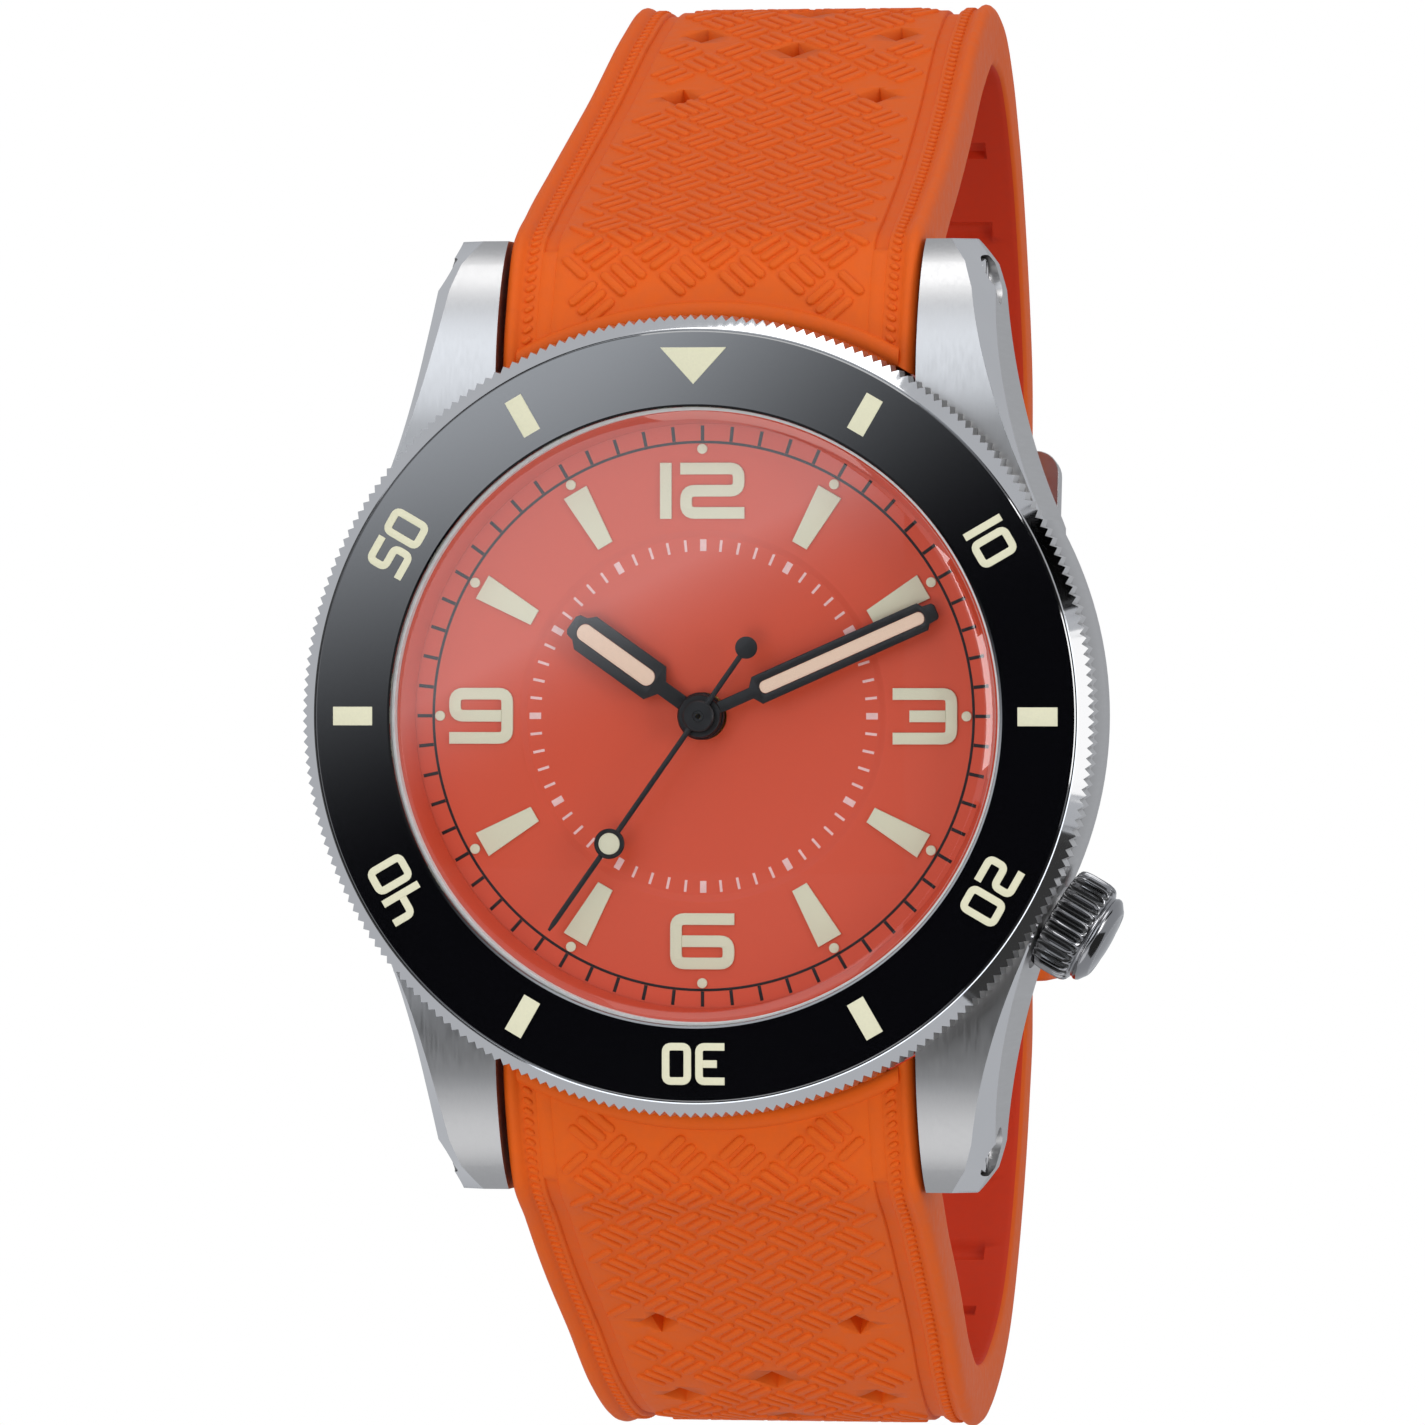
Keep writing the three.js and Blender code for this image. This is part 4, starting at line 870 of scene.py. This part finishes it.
# The diamond-shaped recesses: distance along the strap's outer face, and places across it.
DIAMONDS = [(30.2, (-5.45, 5.45)), (36.6, (0,)), (38.9, (-5.45, 5.45)), (43.2, (0,)),
    (47.6, (-5.45, 5.45))]
DIAMOND_HALF = 1.1
# The short half's recesses lie nearer the case than the long half's, by this much along the strap.
SHORT_DIAMOND_SHIFT = -6.2


def weave(bend, name, start, end):
    """Bundles of three bars, laid like a basket weave at 45 degrees, and the pips inside each border."""
    points, faces = [], []
    cell = 2.25
    step = cell / math.sqrt(2)
    row = 0
    while start + row * step < end:
        s = start + row * step
        turn = 45 if row % 2 else -45
        c, n = math.cos(math.radians(turn)), math.sin(math.radians(turn))
        for column in range(-5, 6):
            x = (column + (row % 2) / 2) * 2 * step
            near = any(abs(x - dx) + abs(s - ds) < DIAMOND_HALF + 1.1 for ds,
                across in bend.diamonds for dx in across)
            if near or s < bend.start(x) + 1.8:
                continue
            # Bars lie straight across a bend, so they stand higher where it is tight.
            sag = 0.17 * bend.spot(s - 0.7)[1].angle(bend.spot(s + 0.7)[1])
            for k in (-1, 0, 1):
                if abs(x + k * 0.72 * c) < bend.half(s) - 3.3:
                    capsule(bend, points, faces, x + k * 0.72 * c, s + k * 0.72 * n, 1.95, 0.56, turn,
                        PANEL + 0.14 + sag)
        row += 1
    s = start + 1.0
    while s < end + 4:
        for side in (1, -1):
            capsule(bend, points, faces, side * (bend.half(s) - 1.3), s, 0.62, 0.34, side * 55,
                PANEL + 0.14, 4)
        s += 0.6
    mesh = bpy.data.meshes.new(name)
    mesh.from_pydata(points, [], faces)
    return mesh


def end_rib(bend, name):
    """The raised border that follows the round case at the strap's end."""
    rows = []
    for i in range(61):
        x = mix(-10.2, 10.2, i / 60)
        s0 = bend.start(x)
        rows.append([bend.at(x, s0 + out, lift) for out, lift in (
            (0.05, PANEL - 0.1), (0.1, -0.16), (0.3, -0.03), (0.55, 0.0), (0.8, -0.05), (1.0, -0.18),
            (1.1, PANEL - 0.1),
        )])
    return grid_mesh(name, rows, ends=True)


def diamond_tool(bend, x, s):
    outline = [(DIAMOND_HALF, 0), (0, DIAMOND_HALF), (-DIAMOND_HALF, 0), (0, -DIAMOND_HALF)]
    rows = [[bend.at(x + a, s + b, lift) for a, b in outline] for lift in (0.5, -0.3, -1.7)]
    return grid_mesh("diamond", rows, ends=True)


def prism(outline, z0, z1):
    return grid_mesh("prism", [[(x, y, z) for x, y in outline] for z in (z0, z1)], ends=True)


def straps():
    long_side = Bend(LONG_PATH, 1, thins=True)
    short_side = Bend(SHORT_PATH, -1, diamond_shift=SHORT_DIAMOND_SHIFT)
    for name, bend, node in (("strap_long", long_side, "strap_12"),
                             ("strap_short", short_side, "strap_6")):
        piece = new_piece(name, strap_mesh(bend, 7.5, 74), [RUBBER, SHADED_RUBBER], "case", [node],
            smooth_angle=50)
        tools = [diamond_tool(bend, x, s) for s, across in bend.diamonds for x in across]
        if bend.thins:
            tools += [prism(rounded_box(-1.5, 1.5, -2.9, 8.0, 1.3), -50, -40)]
            tools += [prism(rounded_box(-1.5, 1.5, y - 1.1, y + 1.1, 1.0), -50, -40) for y in (-12.9,
                13.0)]
        else:
            tools.append(box_mesh(-1.5, 1.5, HINGE[0] - 2.4, 0, -50, -38))
        carve(piece, *tools)
        weave_name = f"{name}_weave"
        new_piece(weave_name, weave(bend, weave_name, 1.41, 70), RUBBER, "case", smooth_angle=70)
        new_piece(f"{name}_rib", end_rib(bend, "rib"), RUBBER, "case", smooth_angle=60)


def keepers():
    inner, outer = STRAP_BACK_Z + 3.35, STRAP_BACK_Z - 3.35
    band = [rounded_box(-11.35, 11.35, outer - 1, inner + 1, 1.5),
        rounded_box(-10.35, 10.35, outer, inner, 0.5)]
    for name, node, body, y in (
        ("keeper_fixed", "fixed_keeper", "case", -10.8),
        ("keeper_sliding", "sliding_keeper", "sliding_keeper", -15.4),
    ):
        # The band is drawn flat as (x, z) and stood up to run along y.
        place = Matrix.Translation((0, y, 0)) @ Matrix(((1, 0, 0, 0), (0, 0, 1, 0), (0, 1, 0, 0),
            (0, 0, 0, 1)))
        new_piece(name, plate(name, band, 0, 4.0, 0.22), RUBBER, body, [node], place, smooth_angle=50)


# ---------- buckle ----------
def buckle():
    at_hinge = Matrix.Translation((0, *HINGE))
    tilt = at_hinge @ Matrix.Rotation(math.radians(-10), 4, "X")
    outline = rounded_box(-11.3, 11.3, -1.1, 18.6, 1.3, 8)
    opening = rounded_box(-10.4, 10.4, -4, 17.0, 1.1, 8)
    frame_piece = new_piece(
        "buckle_loop", prism(outline, -0.75, 0.75), BRUSHED_SIDE, "buckle_frame", ["buckle_frame"], tilt,
            edge=0.28)
    hole = prism(opening, -2, 2)
    hole.transform(tilt)
    pivot = disc_mesh(0.45, -12, 12, 32, tilt @ LAID)
    carve(frame_piece, hole, pivot)
    lean = at_hinge @ Matrix.Rotation(math.radians(-15.5), 4, "X")
    side = [(1.0, -0.55), (16.8, -0.55), (18.6, -0.42), (19.7, -0.1), (19.8, 0.15), (19.5, 0.42),
        (17.6, 0.55), (1.0, 0.55)]
    # The tang is drawn from its side as (y, z) and pushed across.
    across = Matrix(((0, 0, 1, 0), (1, 0, 0, 0), (0, 1, 0, 0), (0, 0, 0, 1)))
    bar = plate("tang", [side], -1.2, 1.2, 0.22, across)
    new_piece("buckle_pin", bar, POLISHED, "buckle_tang", ["buckle_tang"], lean, smooth_angle=50)
    eye = turned("eye", [(0.83, -1.2), (1.2, -1.2), (1.3, -1.1), (1.3, 1.1), (1.2, 1.2), (0.83, 1.2),
        (0.83, -1.2)], 64)
    new_piece("buckle_pin_eye", eye, POLISHED, "buckle_tang", place=lean @ LAID)
    rod = turned("rod", [
        (0, -11.2), (0.36, -11.2), (0.4, -11.15), (0.4, -10.3), (0.75, -10.3), (0.75, 10.3), (0.4, 10.3),
        (0.4, 11.15),
        (0.36, 11.2), (0, 11.2),
    ], 48)
    new_piece("buckle_rod", rod, POLISHED, "case", ["buckle_bar"], at_hinge @ LAID)
    for side_name, side in (("12", 1), ("6", -1)):
        tube = turned("bar", [(0.65, -11.05), (0.9, -11.05), (0.9, 11.05), (0.65, 11.05),
            (0.65, -11.05)], 48)
        place = Matrix.Translation((0, side * BAR_Y, BAR_Z)) @ LAID
        new_piece(f"spring_tube_{side_name}", tube, POLISHED, "case", [f"strap_bar_{side_name}"], place)


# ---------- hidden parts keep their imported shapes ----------
INSIDE = {
    POLISHED: ["bezel_click_spring", "bezel_retaining_wire", "stem", "sliding_pinion", "setting_lever",
        "setting_wheel", "rotor",
               "bridge_screw_1", "bridge_screw_2", "battery", "battery_clamp", "stator",
               "quartz_crystal"],
    TURNED_STEEL: ["train_bridge"],
    BLACK_RUBBER: ["case_back_gasket", "crown_gasket", "control_chip"],
    GASKET_WHITE: ["movement_ring"],
    BRASS: ["intermediate_wheel", "second_wheel", "third_wheel", "centre_wheel", "cannon_pinion",
        "minute_wheel", "hour_wheel",
            "main_plate"],
    COPPER: ["coil"],
    BOARD_GREEN: ["circuit_board"],
}


def inside():
    for material, names in INSIDE.items():
        for name in names:
            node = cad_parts[name]
            node.data.materials.clear()
            node.data.materials.append(material)


# ---------- studio ----------
CAMERA_DISTANCE = 0.560
CAMERA_AZIMUTH = math.radians(9.9)
CAMERA_ELEVATION = math.radians(0.4)
DIAL_MIDDLE = Vector((0, -DIAL_Z * MM, 0))


def camera():
    data = bpy.data.cameras.new("camera")
    data.lens = 269.6
    data.sensor_width = 36
    data.shift_x = 0.0070
    data.shift_y = 0.0025
    data.clip_start = 0.01
    holder = bpy.data.objects.new("camera", data)
    level = math.cos(CAMERA_ELEVATION)
    away = Vector((
        math.sin(CAMERA_AZIMUTH) * level, -math.cos(CAMERA_AZIMUTH) * level, math.sin(CAMERA_ELEVATION)))
    holder.location = DIAL_MIDDLE + away * CAMERA_DISTANCE
    holder.rotation_euler = (-away).to_track_quat("-Z", "Y").to_euler()
    bpy.context.scene.collection.objects.link(holder)
    bpy.context.scene.camera = holder


def light(name, place, target, size, power, colour=(1, 1, 1)):
    data = bpy.data.lights.new(name, "AREA")
    data.shape = "RECTANGLE"
    data.size, data.size_y = size
    data.energy = power
    data.color = colour
    lamp = bpy.data.objects.new(name, data)
    lamp.location = place
    lamp.rotation_euler = (Vector(target) - Vector(place)).to_track_quat("-Z", "Y").to_euler()
    bpy.context.scene.collection.objects.link(lamp)
    return lamp


def card(name, corners, colour, strength, fade=None):
    """A flat reflector or black card beside the camera, seen only by light and in reflections."""
    mesh = bpy.data.meshes.new(name)
    mesh.from_pydata(corners, [], [(0, 1, 2, 3)])
    material = bpy.data.materials.new(name)
    material.use_nodes = True
    nodes, links = material.node_tree.nodes, material.node_tree.links
    nodes.clear()
    shine = nodes.new("ShaderNodeEmission")
    shine.inputs["Color"].default_value = (*colour, 1)
    shine.inputs["Strength"].default_value = strength
    out = nodes.new("ShaderNodeOutputMaterial")
    links.new(shine.outputs["Emission"], out.inputs["Surface"])
    if fade:
        # Brightness grows as a power of the way along a direction across the card, in metres.
        (across, up), low, high, power = fade
        where = nodes.new("ShaderNodeTexCoord")
        along_fade = nodes.new("ShaderNodeVectorMath")
        along_fade.operation = "DOT_PRODUCT"
        along_fade.inputs[1].default_value = (across, 0, up)
        links.new(where.outputs["Object"], along_fade.inputs[0])
        ramp = nodes.new("ShaderNodeMapRange")
        ramp.inputs["From Min"].default_value = low
        ramp.inputs["From Max"].default_value = high
        links.new(along_fade.outputs["Value"], ramp.inputs["Value"])
        curve = nodes.new("ShaderNodeMath")
        curve.operation = "POWER"
        curve.inputs[1].default_value = power
        links.new(ramp.outputs["Result"], curve.inputs[0])
        level = nodes.new("ShaderNodeMath")
        level.operation = "MULTIPLY"
        level.inputs[1].default_value = strength
        links.new(curve.outputs[0], level.inputs[0])
        links.new(level.outputs[0], shine.inputs["Strength"])
    mesh.materials.append(material)
    piece = bpy.data.objects.new(name, mesh)
    bpy.context.scene.collection.objects.link(piece)
    piece.visible_camera = False
    return piece


def studio():
    scene = bpy.context.scene
    scene.view_settings.view_transform = "Standard"
    world = bpy.data.worlds.new("studio")
    scene.world = world
    world.use_nodes = True
    nodes, links = world.node_tree.nodes, world.node_tree.links
    nodes.clear()
    seen = nodes.new("ShaderNodeBackground")
    seen.inputs["Color"].default_value = (1, 1, 1, 1)
    seen.inputs["Strength"].default_value = 1.0
    soft = nodes.new("ShaderNodeBackground")
    soft.inputs["Color"].default_value = (0.92, 0.95, 1.0, 1)
    soft.inputs["Strength"].default_value = 0.56
    which = nodes.new("ShaderNodeLightPath")
    both = nodes.new("ShaderNodeMixShader")
    out = nodes.new("ShaderNodeOutputWorld")
    links.new(which.outputs["Is Camera Ray"], both.inputs[0])
    links.new(soft.outputs["Background"], both.inputs[1])
    links.new(seen.outputs["Background"], both.inputs[2])
    links.new(both.outputs["Shader"], out.inputs["Surface"])
    # A large softbox at the upper left, whose lower right edge fades across the bezel insert's reflection.
    middle = 0.44 * 0.062
    card("key softbox",
         [(0.02, -0.35, -0.06), (-0.42, -0.35, -0.06), (-0.42, -0.35, 0.36), (0.02, -0.35, 0.36)],
         (0.88, 0.93, 1.0), 1.75, fade=((-0.44, 0.9), middle - 0.010, middle + 0.049, 3))
    # The space in front of the watch is nearly dark, so that gloss black stays black.
    white = (1, 1, 1)
    card("front shade", [(0.4, -0.62, -0.22), (-0.5, -0.62, -0.22), (-0.5, -0.62, 0.35), (0.4, -0.62, 0.35)],
         white, 0.065)
    card("right shade high", [(0.43, -0.3, 0.14), (0.43, 0.1, 0.14), (0.40, 0.1, 0.29), (0.40, -0.3, 0.29)],
         (0, 0, 0), 0)
    card("right shade low",
         [(0.18, -0.3, -0.235), (0.18, 0.1, -0.235), (0.36, 0.1, -0.13), (0.36, -0.3, -0.13)], white, 0.045)
    light("top light", (0.05, -0.25, 0.75), (0, 0, 0), (0.6, 0.4), 1.4)
    light("low fill", (0, -0.35, -0.55), (0, 0, 0), (0.6, 0.4), 0.45)
    # Lights the dial and the rubber from the front without showing in gloss black or steel.
    front = light("front fill", (-0.1, -0.55, -0.1), (0, 0, 0), (0.3, 0.3), 1.45)
    front.visible_glossy = False
    card("right strip", [(0.6, -0.24, -0.15), (0.6, -0.06, -0.15), (0.6, -0.06, 0.15), (0.6, -0.24, 0.15)],
         white, 1.25)
    light("right fill", (0.62, -0.35, 0.15), (0, 0, 0), (0.25, 0.6), 2.3)


camera()
case()
case_back()
lug_screws()
bezel()
dial()
crystal()
hands()
crown()
straps()
keepers()
buckle()
inside()
studio()
